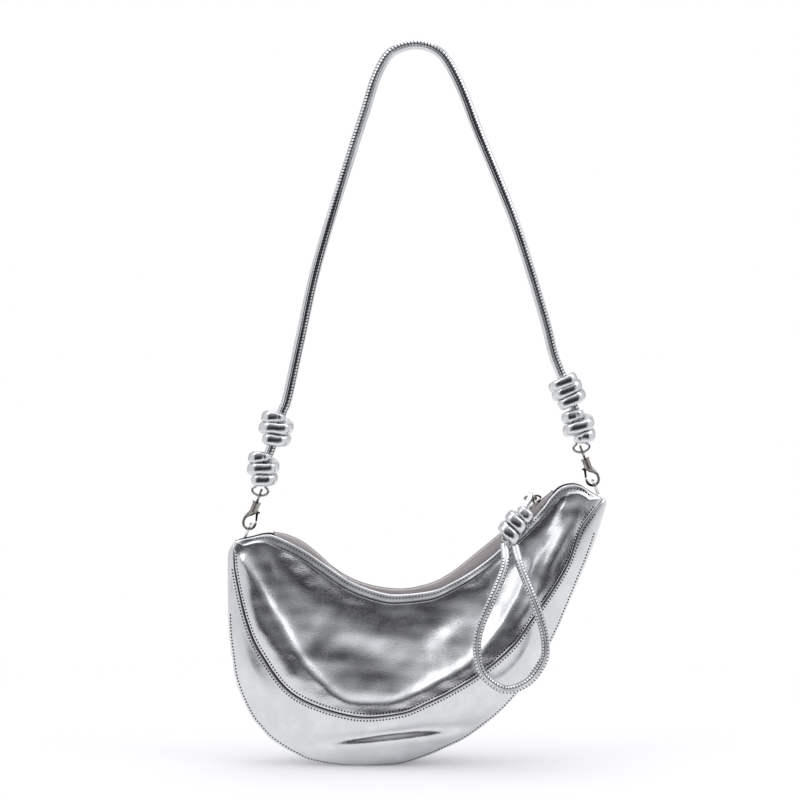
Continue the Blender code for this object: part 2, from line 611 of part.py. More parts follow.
def add_hook_body(side):
    """One swept wire: thick down the barrel, then drawn out into the bow that ends under the gate."""
    axes = hook_axes(side)
    turn = np.linspace(math.pi, 2 * math.pi, 9)
    bow = [(BOW_RADIUS * math.cos(a), BOW_RADIUS + BOW_RADIUS * math.sin(a)) for a in turn]
    barrel = [(0, BARREL_TOP), (0, BARREL_TOP - 0.01), (0, BARREL_TOP - 1.2), (0, BARREL_TOP - 1.25), (0, BARREL_BOTTOM + 0.4)]
    shoulder = [(-1.3, BARREL_BOTTOM - 1.4), (-3.2, BARREL_BOTTOM - 3.6), (-BOW_RADIUS, BARREL_BOTTOM - 6.2)]
    tip = [(BOW_RADIUS, BOW_RADIUS + 1.3), (BOW_RADIUS - 0.15, BOW_RADIUS + 2.1)]
    places = barrel + shoulder + bow + tip
    radii = [2.6, 3.3, 3.3, BARREL_RADIUS, BARREL_RADIUS, 2.3, 1.5] + [BOW_WIRE] * 10 + [1.0, 0.6]
    path = np.array([hook_place(side, a, b) for a, b in places])
    rings = swept(path, axes[1], round_section(np.array(radii), 10))
    pivot = hook_place(side, 0, BARREL_TOP)
    body = add_piece(f"{side}_hook_body", rings.reshape(-1, 3), tube_faces(len(path), 10), "nickel", pivot)
    head = BARREL_TOP - 2.6
    room = [(0, head - GAP), (HEAD_RADIUS + GAP, head - GAP), (HEAD_RADIUS + GAP, head + HEAD_HEIGHT + GAP)]
    room += [(SHANK_RADIUS + GAP, head + HEAD_HEIGHT + GAP), (SHANK_RADIUS + GAP, BARREL_TOP + 1), (0, BARREL_TOP + 1)]
    origin = hook_place(side, 0, 0)
    combine(body, helper(f"{side}_head_room", *lathe(room, origin, axes, 10)), "DIFFERENCE")
    slot = box_corners((2.7, GATE_THICKNESS / 2 + GAP, 3.0), hook_place(side, 2.6, BARREL_BOTTOM + 0.1), axes)
    combine(body, helper(f"{side}_gate_slot", slot, BOX_FACES), "DIFFERENCE")
    across, up = GATE_PIN
    bore = [(0, -4), (PIN_RADIUS + GAP, -4), (PIN_RADIUS + GAP, 4), (0, 4)]
    turned = np.array([axes[2], axes[0], axes[1]])
    combine(body, helper(f"{side}_pin_bore", *lathe(bore, hook_place(side, across, up), turned, 8)), "DIFFERENCE")


def add_gate(side):
    """The sprung lever that closes the bow, with its thumb tab, and the pin and leaf spring that carry it."""
    axes = hook_axes(side)
    across, up = GATE_PIN
    outline = [
        (1.2, 15.7), (2.6, 15.7), (3.4, 14.9), (4.9, 14.6), (5.0, 13.8), (3.9, 13.2),
        (BOW_RADIUS + 0.55, 7.4), (BOW_RADIUS - 0.75, 7.2), (2.2, 12.2), (1.1, 13.2),
    ]
    flat = np.array([axes[0], axes[2], axes[1]])
    pivot = hook_place(side, across, up)
    vertices, faces = prism(outline, GATE_THICKNESS / 2, hook_place(side, 0, 0), flat)
    gate = add_piece(f"{side}_hook_gate", vertices, faces, "nickel", pivot)
    turned = np.array([axes[2], axes[0], axes[1]])
    bore = [(0, -2), (PIN_RADIUS + GAP, -2), (PIN_RADIUS + GAP, 2), (0, 2)]
    combine(gate, helper(f"{side}_gate_bore", *lathe(bore, pivot, turned, 8)), "DIFFERENCE")
    pin = [(0, -2.3), (PIN_RADIUS, -2.3), (PIN_RADIUS, 2.3), (0, 2.3)]
    add_piece(f"{side}_gate_pin", *lathe(pin, pivot, turned, 8), "nickel")
    leaf = np.array([hook_place(side, a, b) for a, b in ((0.3, 15.6), (0.22, 14.6), (0.2, 13.6), (0.25, 12.6))])
    rings = swept(leaf, axes[1], flat_section(0.9, 0.2)[:, ::-1])
    add_piece(f"{side}_gate_spring", rings.reshape(-1, 3), tube_faces(len(leaf), 4), "nickel")


def add_corner_loop(side):
    """The leather loop at a corner of the bag, round the bottom wire of its hook."""
    x, z = HOOK_PIVOT[side]
    root = np.array([CORNER_ROOT[side][0], 0, CORNER_ROOT[side][1]])
    top = np.array([x + CORNER_SHIFT[side], 0, z])
    strip_loop(
        f"{side}_corner_loop", top, root - top, (0, 1, 0), CORNER_RADIUS, np.linalg.norm(root - top), CORNER_WIDTH,
        CORNER_STRIP, (0, 0, 0), pinch=0.35, close=1.0,
    )


def hinge_point():
    x, z = HOOK_PIVOT["left"]
    return np.array([x, 0, z])


def add_strap():
    pivot = hinge_point()
    tube("strap", through(in_front_view(STRAP), 64), STRAP_RADIUS, "silver_leather", 8, (0, 1, 0), pivot)
    for name, (top, bottom, radius, cord, turns, phase) in KNOTS.items():
        add_wound_knot(name, *in_front_view([top, bottom]), radius, cord, turns, pivot, phase)
    for side in ("left", "right"):
        eye = hook_place(side, 0, EYE_HEIGHT)
        knot = in_front_view([KNOTS[f"{side}_lower_knot"][1]])[0]
        up = knot - eye
        centre = eye + unit(up) * ((EYE_LOOP_RADIUS + EYE_LOOP_STRIP / 2) * EYE_LOOP_FLATNESS - EYE_LOOP_DROP)
        strip_loop(
            f"{side}_eye_loop", centre, up, np.cross((0, 1, 0), unit(up)), EYE_LOOP_RADIUS,
            np.linalg.norm(knot - centre) + 2.0, EYE_LOOP_WIDTH, EYE_LOOP_STRIP, pivot, pinch=EYE_LOOP_PINCH,
            close=0.45, flat=EYE_LOOP_FLATNESS,
        )


def build():
    clear_scene()
    grid, facing_row, seam_row = bag_surface()
    normal = outward(grid)
    add_skins(grid, normal, facing_row, seam_row)
    add_lining(grid, normal)
    add_tapes()
    add_teeth()
    add_stops()
    add_slider()
    add_pull_ring()
    add_pull()
    for side in ("left", "right"):
        add_corner_loop(side)
        add_hook_eye(side)
        add_hook_body(side)
        add_gate(side)
    add_strap()


build()
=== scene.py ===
"""Dressed model of a crescent shoulder bag in silver foil leather, laid out as an add-on.

Leather, cloth, teeth, stitches and knots are surfaces worked out with numpy in millimetres, in the drawing's
frame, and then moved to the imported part's frame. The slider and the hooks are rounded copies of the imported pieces.
The front of the bag faces -Y."""

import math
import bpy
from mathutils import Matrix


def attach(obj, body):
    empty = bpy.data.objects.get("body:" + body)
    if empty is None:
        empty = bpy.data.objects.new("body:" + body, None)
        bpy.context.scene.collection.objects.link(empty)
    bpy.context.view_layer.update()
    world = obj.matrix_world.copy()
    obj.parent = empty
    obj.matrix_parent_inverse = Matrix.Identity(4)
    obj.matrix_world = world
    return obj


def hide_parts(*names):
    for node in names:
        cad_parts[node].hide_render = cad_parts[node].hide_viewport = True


bl_info = {
    "name": "Foil leather shoulder bag",
    "version": (1, 0, 0),
    "blender": (4, 5, 0),
    "location": "3D View > Sidebar > Bag",
    "description": "Builds a crescent shoulder bag with its zip, wound pull, snap hooks and knotted strap",
    "category": "Add Mesh",
}

import bmesh
import bpy
import numpy as np
from mathutils import Vector

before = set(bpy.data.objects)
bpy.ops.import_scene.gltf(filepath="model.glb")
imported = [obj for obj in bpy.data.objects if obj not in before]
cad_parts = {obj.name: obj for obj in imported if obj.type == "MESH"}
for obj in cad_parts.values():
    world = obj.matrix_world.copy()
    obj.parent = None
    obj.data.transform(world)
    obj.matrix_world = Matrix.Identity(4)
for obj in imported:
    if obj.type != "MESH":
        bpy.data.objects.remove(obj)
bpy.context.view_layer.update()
FINISHES, CLASSES = {}, []

MM = 0.001
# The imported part's origin in the drawing, in millimetres
ORIGIN = np.array([11.47, -4.38, 0.0])
# The photograph: millimetres to a pixel, pixels on a side, the row of the table, the camera's angle downwards
PIXEL, PICTURE, TABLE_ROW, CAMERA_ELEVATION = 0.74, 800, 766, 4.0
SILVER, NICKEL, LINING, TAPE = "silver_leather", "nickel", "lining", "zip_tape"
SIDES = ((-1, "front"), (1, "back"))
WHITE = (1, 1, 1, 1)

# Outlines of the bag in its front view: x to the right, z up from the table
MOUTH = [
    (-121.5, 167.0), (-110, 169.6), (-100.6, 171.8), (-92, 170.8), (-72.5, 161.5), (-55.5, 150.2),
    (-36, 137.2), (-14.8, 129.3), (0, 127.6), (24.4, 130.6), (37.7, 136.4), (51.1, 144.0),
    (64.4, 153.4), (75.5, 163.0), (92, 178.0), (105, 191.5), (111.5, 200.0), (119, 206.8), (128, 209.0),
    (134.5, 207.5), (140.5, 203.5), (149, 198.6),
]
SEAM = [
    (-123.2, 165.4), (-121.6, 142), (-113.6, 109), (-102.5, 84.5), (-78, 55), (-35, 40.5), (0, 42.5),
    (20.7, 50.5), (41.4, 61), (62, 74), (82.9, 92), (96.6, 110.5), (113.9, 135), (124.3, 153),
    (132.5, 175), (141, 187), (149.8, 197.2),
]
EDGE = [
    (-124.6, 163.4), (-127.6, 156), (-128, 133), (-127.5, 100), (-125, 78.4), (-122.8, 63.6), (-117.7, 48.8),
    (-110.3, 34), (-104.3, 26.6), (-97.7, 19.2), (-87.3, 11.8), (-77.7, 6.5), (-66, 1.2), (-35, -5), (-8, -3.5),
    (5, -0.3), (14, 3), (24, 6.8), (34.8, 11.8), (49.6, 19.2), (69.6, 34), (84.4, 48.8), (97.9, 66.2), (108.9, 83.9),
    (117.4, 100.8), (123.4, 115), (132.9, 137.6), (139.3, 152.4), (145, 167.2), (149.6, 182), (152.3, 191),
    (152.8, 195.2), (151.6, 198),
]
# Half depths of the bag and half widths of its mouth, in the middle and at the corners
SEAM_HALF_DEPTH, TIP_HALF_DEPTH = 34.0, 2.2
MOUTH_HALF_WIDTH, TIP_HALF_WIDTH = 10.0, 1.4
# Powers that say how full depth, mouth and crescent are: the smaller, the fuller
SEAM_FULLNESS, MOUTH_FULLNESS, CRESCENT_ROUNDNESS = 0.75, 0.3, 0.87
# The panel's S from mouth to seam, as a share of its depth, and how far the crescent stands out past the panel
PANEL_WAVE, SEAM_STEP = 0.115, 0.15
# The foot flattens over this height, and sinks by this much to stay on the table
FOOT_ROUND, FOOT_DROP = 2.6, 0.3
# How far the seam is drawn in at the left, and how much of the panel goes in with it
SEAM_DRAW, SEAM_TURN = 4.5, 16.0
CREASE = math.radians(18)
FACING_DEPTH = 6.7
# The leather's thickness in the middle and at the corners, how far a cut edge rolls over and how wide the roll is
LEATHER, TIP_LEATHER, EDGE_ROLL, ROLL_WIDTH = 1.6, 0.7, 0.7, 1.1
CLOTH = 0.7
# Half sizes of a stitch on the bag: along the seam, across it, off the leather. How far the rows keep off seam
# and outline
STITCH = (0.66, 0.66, 0.45)
SEAM_MARGIN, OUTLINE_MARGIN = 2.7, 3.2
# Where lining and pocket begin and end, as shares of the bag's length
LINING_SPAN, POCKET_SPAN = (2 / 26, 24 / 26), (9 / 26, 16 / 26)

# The fold that runs inside the seam, where the panel caves in past it: its line, its depth, the width it takes to
# reach that depth, and how softly it starts
LIP = [
    (-116, 152), (-107, 141), (-97, 122), (-85, 103), (-74, 84), (-60, 68), (-46, 56), (-36, 51.5), (-12, 51),
    (2, 54), (22, 64), (50, 80), (68, 99), (82, 121), (97, 148), (109, 168), (119, 190),
]
LIP_STEP, LIP_WIDTH, LIP_SOFT = 4.2, 6.5, 0.9
# The soft ridge just outside the fold: its height, how far off the fold it is, and its half width
RIDGE_HEIGHT, RIDGE_OFF, RIDGE_WIDTH = 0.5, 1.0, 4.0

# Soft dents and rises: centre, half length, half width, angle and how far out it stands
FRONT_PANEL_FOLDS = [
    ((-60, 100), 14, 9, 60, 2.8), ((-38, 94), 13, 9, -10, 0.8), ((42, 100), 18, 8, 40, 2.2),
    ((-36, 87), 38, 8, -3, 2.2), ((-30, 73), 42, 10, 2, 1.6), ((-75, 135), 20, 9, -55, -1.6),
    ((-98, 150), 12, 6, -70, 1.5), ((70, 140), 26, 8, 48, -1.4), ((96, 150), 28, 6, 60, 2.0),
    ((112, 182), 16, 6, 65, -1.5), ((10, 110), 40, 9, 8, 0.9), ((128, 192), 10, 6, 20, 1.0),
    ((60, 112), 22, 7, 38, -1.4), ((114, 160), 24, 5, 62, 2.4), ((97, 124), 18, 4.5, 55, 1.5),
]
FRONT_CRESCENT_FOLDS = [
    ((-26, 24.6), 44, 3.6, 9, -2.1), ((26, 29.5), 48, 4, 3, -2.3), ((-26, 17.2), 40, 4, 9, 0.9),
    ((26, 21.8), 44, 4.2, 3, 1.0), ((-6, 35), 50, 2.2, 9, 0.9), ((-110, 70), 14, 26, 20, 0.8),
    ((95, 85), 20, 10, 50, 0.8),
]
BACK_PANEL_FOLDS = [
    ((-40, 95), 40, 12, 20, 1.2), ((30, 88), 34, 10, -15, -1.3), ((75, 135), 26, 8, 48, 1.2),
    ((-85, 125), 18, 9, -55, -1.3),
]
BACK_CRESCENT_FOLDS = [((-20, 22), 46, 4.0, 4, -1.5), ((70, 60), 20, 8, 45, 1.0)]

# Zip: past its bend it runs straight. ZIP_PARTING is how far each half stands off the middle past the slider
ZIP_SLOPE, ZIP_BEND = 0.82, (44.4, 146.1)
ZIP_LINE = [
    (-93, 171.8), (-84, 170), (-72, 164.5), (-59.5, 154.5), (-47.5, 143.8), (-29.5, 134.6), (-10.5, 130.2),
    (6, 129.8), (24.5, 134.2), (36, 140.2),
] + [(x, ZIP_BEND[1] + ZIP_SLOPE * (x - ZIP_BEND[0])) for x in (44.4, 58, 72, 86, 100, 113)]
ZIP_ON_MOUTH = (0.095, 0.865)
ZIP_PARTING = 1.4
# Half sizes of a tooth's head and of its grip on the tape: across the zip, along it, up
TOOTH_HEAD, TOOTH_GRIP = (1.18, 0.52, 0.9), (0.5, 0.62, 1.05)
SLIDER_X = 101.0
# The crown's hole, along the zip and up from the slider's middle
CROWN_ALONG, CROWN_UP = 3.2, 4.1
RING_RADIUS, RING_WIRE, RING_TILT = 4.2, 0.95, -25.0
PULL_LOOP_RADIUS = 3.2
PULL_KNOT_AXIS = ((91.0, -16.5, 190.0), (77.0, -21.0, 169.5))
PULL_LOOP = [
    (77.0, -22.5, 166.0), (76.6, -31.0, 150.0), (66.5, -37.5, 126.0), (58.0, -38.8, 105.0), (56.4, -39.2, 89.0),
    (60.7, -39.6, 72.5), (77.0, -39.8, 61.2), (94.0, -39.6, 67.0), (105.0, -39.3, 82.0), (106.3, -39.0, 95.0),
    (103.5, -38.4, 110.0), (96.5, -36.5, 130.0), (88.5, -30.0, 150.0), (84.4, -22.5, 164.5),
]

# Hooks, loops, strap and knots
HOOK_PIVOT = {"left": (-113.4, 175.2), "right": (144.5, 207.6)}
HOOK_LEAN = {"left": 20.4, "right": -20.9}
EYE_HEIGHT = 27.0
CORNER_SHIFT = {"left": 1.2, "right": -0.2}
CORNER_ROOT = {"left": (-116.4, 168.9), "right": (147.2, 201.2)}
STRAP_RADIUS = 3.7
STRAP = [
    (-101.2, 218.5), (-100.2, 225.5), (-97.0, 231.5), (-94.4, 238.5), (-91.2, 251.0), (-86.8, 263.0), (-83.2, 273.0),
    (-74.0, 315.0), (-60.7, 373.0), (-37.0, 448.8),
    (-25.2, 485.1), (-18.0, 507.6), (-10.1, 522.8), (-1.5, 529.5), (10.4, 532.4), (21.5, 530.7), (31.6, 524.1),
    (40.0, 511.0), (48.1, 493.2), (57.0, 470.0), (85.1, 400.3), (105.9, 333.7), (113.0, 306.0),
    (117.2, 294.5), (121.6, 283.5), (126.0, 271.5), (129.3, 263.0), (131.4, 255.5), (132.6, 248.0),
]
# The strap's slow twist: share of its length, and the angle of its seam from the front, positive inwards
STRAP_TWIST = [
    (0.0, 0.3), (0.17, 0.35), (0.27, 0.1), (0.36, -0.5), (0.5, -0.45), (0.64, -0.1), (0.8, -0.3), (1.0, -0.6),
]
# Each knot's ends, the radii of its turns and of its cord, its turns, and the share of a turn that it starts at
KNOTS = {
    "left_upper_knot": ((-89.2, 259.4), (-94.2, 240.3), 9.1, 3.7, 2.3, 0.15),
    "left_lower_knot": ((-100.2, 230.0), (-102.8, 210.0), 8.3, 3.7, 2.3, 0.15),
    "right_upper_knot": ((120.2, 287.4), (126.7, 269.0), 8.9, 3.35, 2.6, 0.95),
    "right_lower_knot": ((130.9, 261.6), (133.4, 241.6), 8.3, 3.7, 2.2, 0.15),
}
# How much thicker the wound cord looks, pressed flat as it is
KNOT_SWELL = 0.2


# Curves and grids

def ease(x):
    """From 0 at 0 to 1 at 1, level at both ends: 3 x squared less 2 x cubed."""
    x = np.clip(x, 0, 1)
    return x * x * (3 - 2 * x)


def unit(v):
    v = np.asarray(v, float)
    return v / np.maximum(np.linalg.norm(v, axis=-1, keepdims=True), 1e-9)


def through(points, count, start=0.0, end=1.0):
    """Evenly spaced places on a smooth curve through the points: each stretch is a cubic that leaves a point
    towards the next one in the direction of the line between its neighbours."""
    p = np.array(points, float)
    padded = np.vstack([2 * p[0] - p[1], p, 2 * p[-1] - p[-2]])
    a, b, c, d = (padded[i : len(p) - 1 + i, None, :] for i in range(4))
    t = np.linspace(0, 1, 24, endpoint=False)[None, :, None]
    dense = 0.5 * (2 * b + (c - a) * t + (2 * a - 5 * b + 4 * c - d) * t**2 + (3 * b - a - 3 * c + d) * t**3)
    return resampled(np.vstack([dense.reshape(-1, p.shape[1]), p[-1]]), count, start, end)


def line_at(points, u):
    """Places at shares u of the length of the curve through the points; u may have any shape."""
    dense = through(points, 1600)
    share = np.linspace(0, 1, len(dense))
    return np.stack([np.interp(u, share, column) for column in dense.T], axis=-1)


def length_of(path):
    """The length of a path up to each of its places."""
    return np.concatenate([[0], np.cumsum(np.linalg.norm(np.diff(path, axis=0), axis=1))])


def resampled(path, count, start=0.0, end=1.0):
    """The same path with evenly spaced places."""
    length = length_of(path)
    at = np.linspace(start, end, count) * length[-1]
    return np.stack([np.interp(at, length, column) for column in path.T], axis=1)


def smoothed(path, times):
    """A path whose inner places move to the mean of themselves and their neighbours, several times."""
    for _ in range(times):
        path = np.vstack([path[:1], (path[:-2] + 2 * path[1:-1] + path[2:]) / 4, path[-1:]])
    return path


def in_front_view(points):
    """Places in the bag's middle plane from pairs of the front view."""
    points = np.asarray(points, float)
    return np.stack([points[..., 0], np.zeros(points.shape[:-1]), points[..., 1]], axis=-1)


def frames(path, up):
    """Lift and side directions along a path: lift is the part of up square to the path, side is square to both."""
    along = unit(np.gradient(path, axis=0))
    side = unit(np.cross(along, np.broadcast_to(up, along.shape)))
    return np.cross(side, along), side


def carried(path, up, section):
    """A section carried along a path: place + a * lift + b * side for each pair (a, b) of the section."""
    lift, side = frames(path, up)
    section = np.broadcast_to(section, (len(path), *np.shape(section)[-2:]))
    return path[:, None] + section[..., :1] * lift[:, None] + section[..., 1:] * side[:, None]


def round_turn(sides):
    """Angles evenly spaced round a full turn."""
    return np.arange(sides) * 2 * math.pi / sides


def ring_faces(rings, sides, closed=False):
    """Quads between neighbouring rings, with a cap on each end unless the tube closes on itself."""
    index = np.arange(rings * sides).reshape(rings, sides)
    if closed:
        index = np.vstack([index, index[:1]])
    beside = np.roll(index, -1, axis=1)
    quads = np.stack([index[:-1], beside[:-1], beside[1:], index[1:]], axis=-1).reshape(-1, 4).tolist()
    return quads if closed else quads + [index[0][::-1].tolist(), index[-1].tolist()]


def rounded_ends(path, radii):
    """Adds rings at both ends whose radii shrink as a quarter circle does, so that a tube ends in a dome."""
    turn = np.linspace(0, math.pi / 2, 6)[1:-1]
    first, last = unit(path[0] - path[1]), unit(path[-1] - path[-2])
    head = path[0] + first * (radii[0] * np.sin(turn))[::-1, None]
    tail = path[-1] + last * (radii[-1] * np.sin(turn))[:, None]
    both = np.concatenate([radii[0] * np.cos(turn)[::-1], radii, radii[-1] * np.cos(turn)])
    return np.vstack([head, path, tail]), both


# Making pieces

def placed(name, data):
    """A new object in the scene."""
    made = bpy.data.objects.new(name, data)
    bpy.context.scene.collection.objects.link(made)
    return made


def piece(name, vertices, faces, finish, body, slot, *nodes):
    """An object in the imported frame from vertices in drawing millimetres, ridden on its body."""
    mesh = bpy.data.meshes.new(name)
    mesh.from_pydata(((np.asarray(vertices, float).reshape(-1, 3) - ORIGIN) * MM).tolist(), [], faces)
    face_out(mesh)
    mesh.shade_smooth()
    mesh.set_sharp_from_angle(angle=math.radians(40))
    mesh.materials.append(FINISHES[finish])
    made = placed(name, mesh)
    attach(made, body)
    if nodes:
        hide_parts(*nodes)
    return made


def face_out(mesh):
    """Turns every face of a closed mesh to point out."""
    shape = bmesh.new()
    shape.from_mesh(mesh)
    bmesh.ops.recalc_face_normals(shape, faces=shape.faces)
    shape.to_mesh(mesh)
    shape.free()


def shell(name, outer, inner, finish, body, slot, *nodes):
    """A closed shell between two grids of the same shape, joined round their border."""
    rows, columns = outer.shape[:2]
    count = rows * columns
    index = np.arange(count).reshape(rows, columns)
    quads = np.stack([index[:-1, :-1], index[:-1, 1:], index[1:, 1:], index[1:, :-1]], axis=-1).reshape(-1, 4)
    border = np.concatenate([index[0, :-1], index[:-1, -1], index[-1, :0:-1], index[:0:-1, 0]])
    after = np.roll(border, -1)
    rim = np.stack([border, border + count, after + count, after], axis=-1)
    faces = quads.tolist() + (quads[:, ::-1] + count).tolist() + rim.tolist()
    vertices = np.concatenate([outer.reshape(-1, 3), inner.reshape(-1, 3)])
    return piece(name, vertices, faces, finish, body, slot, *nodes)


def tube(name, rings, finish, body, slot, *nodes, closed=False):
    """A tube through rings of places, with flat ends unless it closes on itself."""
    return piece(name, rings, ring_faces(*rings.shape[:2], closed), finish, body, slot, *nodes)


def rod(name, path, radii, up, sides, finish, body, slot, *nodes):
    """A round rod along a path, with domed ends: its section is (r cos t, r sin t)."""
    path, radii = rounded_ends(path, radii)
    t = round_turn(sides)
    rings = carried(path, up, np.multiply.outer(radii, np.stack([np.cos(t), np.sin(t)], axis=-1)))
    return tube(name, rings, finish, body, slot, *nodes)


def hoop(name, centre, first, second, radius, wire, finish, body, slot, *nodes):
    """A ring: centre + (radius + wire cos s)(first cos t + second sin t) + wire sin s along the ring's axis."""
    t, s = round_turn(64)[:, None, None], round_turn(16)[None, :, None]
    out = np.asarray(first) * np.cos(t) + np.asarray(second) * np.sin(t)
    points = centre + out * (radius + wire * np.cos(s)) + np.cross(first, second) * wire * np.sin(s)
    return tube(name, points, finish, body, slot, *nodes, closed=True)


def beads(places, along, lift, length, width, height, sides=6, rings=4):
    """Vertices and faces of many small rounded stitches. Each is an oval solid: length along the seam, width
    across it and height off the leather, all as half sizes."""
    side = np.cross(along, lift)
    shape = np.array([
        (math.cos(a), math.sin(a) ** 0.6 * math.cos(b), math.sin(a) ** 0.6 * math.sin(b))
        for a in np.linspace(0, math.pi, rings + 2)[1:-1] for b in round_turn(sides)
    ])
    shape = np.vstack([[(1, 0, 0)], shape, [(-1, 0, 0)]]) * (length, width, height)
    points = (
        places[:, None] + shape[None, :, :1] * along[:, None]
        + shape[None, :, 1:2] * side[:, None] + shape[None, :, 2:] * lift[:, None]
    )
    last = len(shape) - 1
    faces = [(0, 1 + i, 1 + (i + 1) % sides) for i in range(sides)]
    for a in range(1, last - sides, sides):
        b = a + sides
        faces += [(a + i, b + i, b + (i + 1) % sides, a + (i + 1) % sides) for i in range(sides)]
    a = last - sides
    faces += [(a + i, last, a + (i + 1) % sides) for i in range(sides)]
    return points.reshape(-1, 3), repeated(faces, len(shape), len(places))


def repeated(faces, size, count):
    """The faces of a small shape with size vertices, for count of them one after the other."""
    return [tuple(i + start for i in face) for start in range(0, count * size, size) for face in faces]


def joined(shapes):
    """The vertices and faces of several shapes as one."""
    vertices, faces, count = [], [], 0
    for points, shape in shapes:
        vertices.append(points)
        faces += [tuple(i + count for i in face) for face in shape]
        count += len(points)
    return np.vstack(vertices), faces


# Materials

class Value:
    """A socket of a node tree. Arithmetic on it adds the Math node that works it out."""

    def __init__(self, nodes, socket):
        self.nodes, self.socket = nodes, socket

    def _math(self, operation, first, second):
        return self.nodes.node("ShaderNodeMath", {0: first, 1: second}, operation=operation)

    def __add__(self, other):
        return self._math("ADD", self, other)

    def __rsub__(self, other):
        return self._math("SUBTRACT", other, self)

    def __mul__(self, other):
        return self._math("MULTIPLY", self, other)

    def __pow__(self, other):
        return self._math("POWER", self, other)

    def at_least(self, other):
        return self._math("MAXIMUM", self, other)

    def sine(self):
        return self.nodes.node("ShaderNodeMath", {0: self}, operation="SINE")

    def step(self, low, high):
        """0 up to low, 1 from high, smooth in between."""
        inputs = {"Value": self, "From Min": low, "From Max": high}
        return self.nodes.node("ShaderNodeMapRange", inputs, interpolation_type="SMOOTHSTEP")


class Nodes:
    """A node tree, with one method that adds any node to it."""

    def __init__(self, tree):
        self.tree = tree

    def node(self, kind, inputs=None, output=0, **settings):
        """Adds a node with its settings and fills its inputs."""
        made = self.tree.nodes.new(kind)
        for key, value in settings.items():
            setattr(made, key, value)
        for key, value in (inputs or {}).items():
            self.fill(made.inputs[key], value)
        return Value(self, made.outputs[output])

    def fill(self, socket, value):
        """Links a value to a socket, or sets a number or colour on it."""
        if isinstance(value, Value):
            self.tree.links.new(value.socket, socket)
        else:
            socket.default_value = value

    def parts(self, place):
        """The x, y and z of a place."""
        split = self.node("ShaderNodeSeparateXYZ", {0: place}).socket.node
        return [Value(self, output) for output in split.outputs]

    def ray_kinds(self):
        """Whether a ray comes from the camera, from a mirroring surface or through a clear one."""
        paths = self.node("ShaderNodeLightPath").socket.node
        return [Value(self, paths.outputs[f"Is {kind} Ray"]) for kind in ("Camera", "Glossy", "Transmission")]


class Finish(Nodes):
    """A material with a Principled shader."""

    def __init__(self, name, colour, **sockets):
        self.made = bpy.data.materials.new(name)
        self.made.use_nodes = True
        super().__init__(self.made.node_tree)
        self.shader = self.tree.nodes["Principled BSDF"]
        self.set("Base Color", (*colour, 1))
        for socket, value in sockets.items():
            self.set(socket.replace("_", " "), value)

    def set(self, socket, value):
        self.fill(self.shader.inputs[socket], value)

    def millimetres(self, stretch=(1, 1, 1)):
        """The piece's own place in millimetres, stretched."""
        place = self.node("ShaderNodeTexCoord", output="Object")
        return self.node("ShaderNodeMapping", {"Vector": place, "Scale": tuple(s / MM for s in stretch)})

    def noise(self, size, detail=2.0, roughness=0.5, stretch=(1, 1, 1), distortion=0.0):
        """Soft noise from 0 to 1 whose blobs are about size millimetres across."""
        inputs = {
            "Vector": self.millimetres(stretch), "Scale": 1 / size, "Detail": detail, "Roughness": roughness,
            "Distortion": distortion,
        }
        return self.node("ShaderNodeTexNoise", inputs)

    def cells(self, size):
        """The distance to the middle of the nearest of many cells about size millimetres across."""
        return self.node("ShaderNodeTexVoronoi", {"Vector": self.millimetres(), "Scale": 1 / size}, feature="F1")

    def mix(self, factor, first, second):
        """A colour between two colours."""
        return self.node("ShaderNodeMix", {0: factor, 6: (*first, 1), 7: (*second, 1)}, output=2, data_type="RGBA")

    def relief(self, height, depth):
        """Raises the surface by height, from 0 to 1, times depth in millimetres."""
        self.set("Normal", self.node("ShaderNodeBump", {"Strength": 1.0, "Distance": depth * MM, "Height": height}))


def toned(colour, share):
    """The same colour, brighter or darker."""
    return tuple(min(c * share, 1) for c in colour)


def foil_leather(name, colour, roughness, grain, wrinkle):
    """Metallic foil on grained leather: fine pebbles, soft wrinkles, cloudy wear in tone and gloss."""
    finish = Finish(name, colour, Metallic=1.0)
    pebble = finish.cells(0.75)
    fibre = finish.noise(1.2, detail=3, roughness=0.65)
    crumple = finish.noise(5.5, detail=4, roughness=0.55, distortion=0.6)
    cloud = finish.noise(16, detail=3, roughness=0.6)
    worn = cloud.step(0.35, 0.75)
    finish.set("Base Color", finish.mix(worn * 0.8 + fibre * 0.2, toned(colour, 0.86), colour))
    finish.set("Roughness", worn * 0.08 + fibre * 0.10 + (roughness - 0.09))
    finish.relief(pebble * (0.25 * grain) + fibre * (1.3 * grain) + crumple * (4.0 * wrinkle), 0.1)
    return finish.made


def woven(name, colour, pitch):
    """Plain weave: threads over and under at the pitch, in two close tones."""
    finish = Finish(name, colour, Roughness=0.85)
    x, y, z = finish.parts(finish.millimetres())
    turn = 2 * math.pi / pitch
    weave = (((x + z * 0.35) * turn).sine() * ((z + y) * turn).sine()) * 0.5 + 0.5
    fuzz = finish.noise(0.6, detail=2)
    pale = tuple(min(c * 1.35 + 0.02, 1) for c in colour)
    finish.set("Base Color", finish.mix(weave * 0.6 + fuzz * 0.4, colour, pale))
    finish.relief(weave + fuzz * 0.4, 0.12)
    return finish.made


def polished(name, colour, roughness):
    """Plated metal with faint draw marks and small changes of gloss."""
    finish = Finish(name, colour, Metallic=1.0)
    marks = finish.noise(0.8, detail=3, stretch=(1, 1, 0.25))
    smudge = finish.noise(3.5, detail=2)
    finish.set("Roughness", marks * 0.06 + smudge * 0.08 + (roughness - 0.06))
    finish.set("Base Color", finish.mix(smudge, toned(colour, 0.9), colour))
    finish.relief(marks, 0.01)
    return finish.made


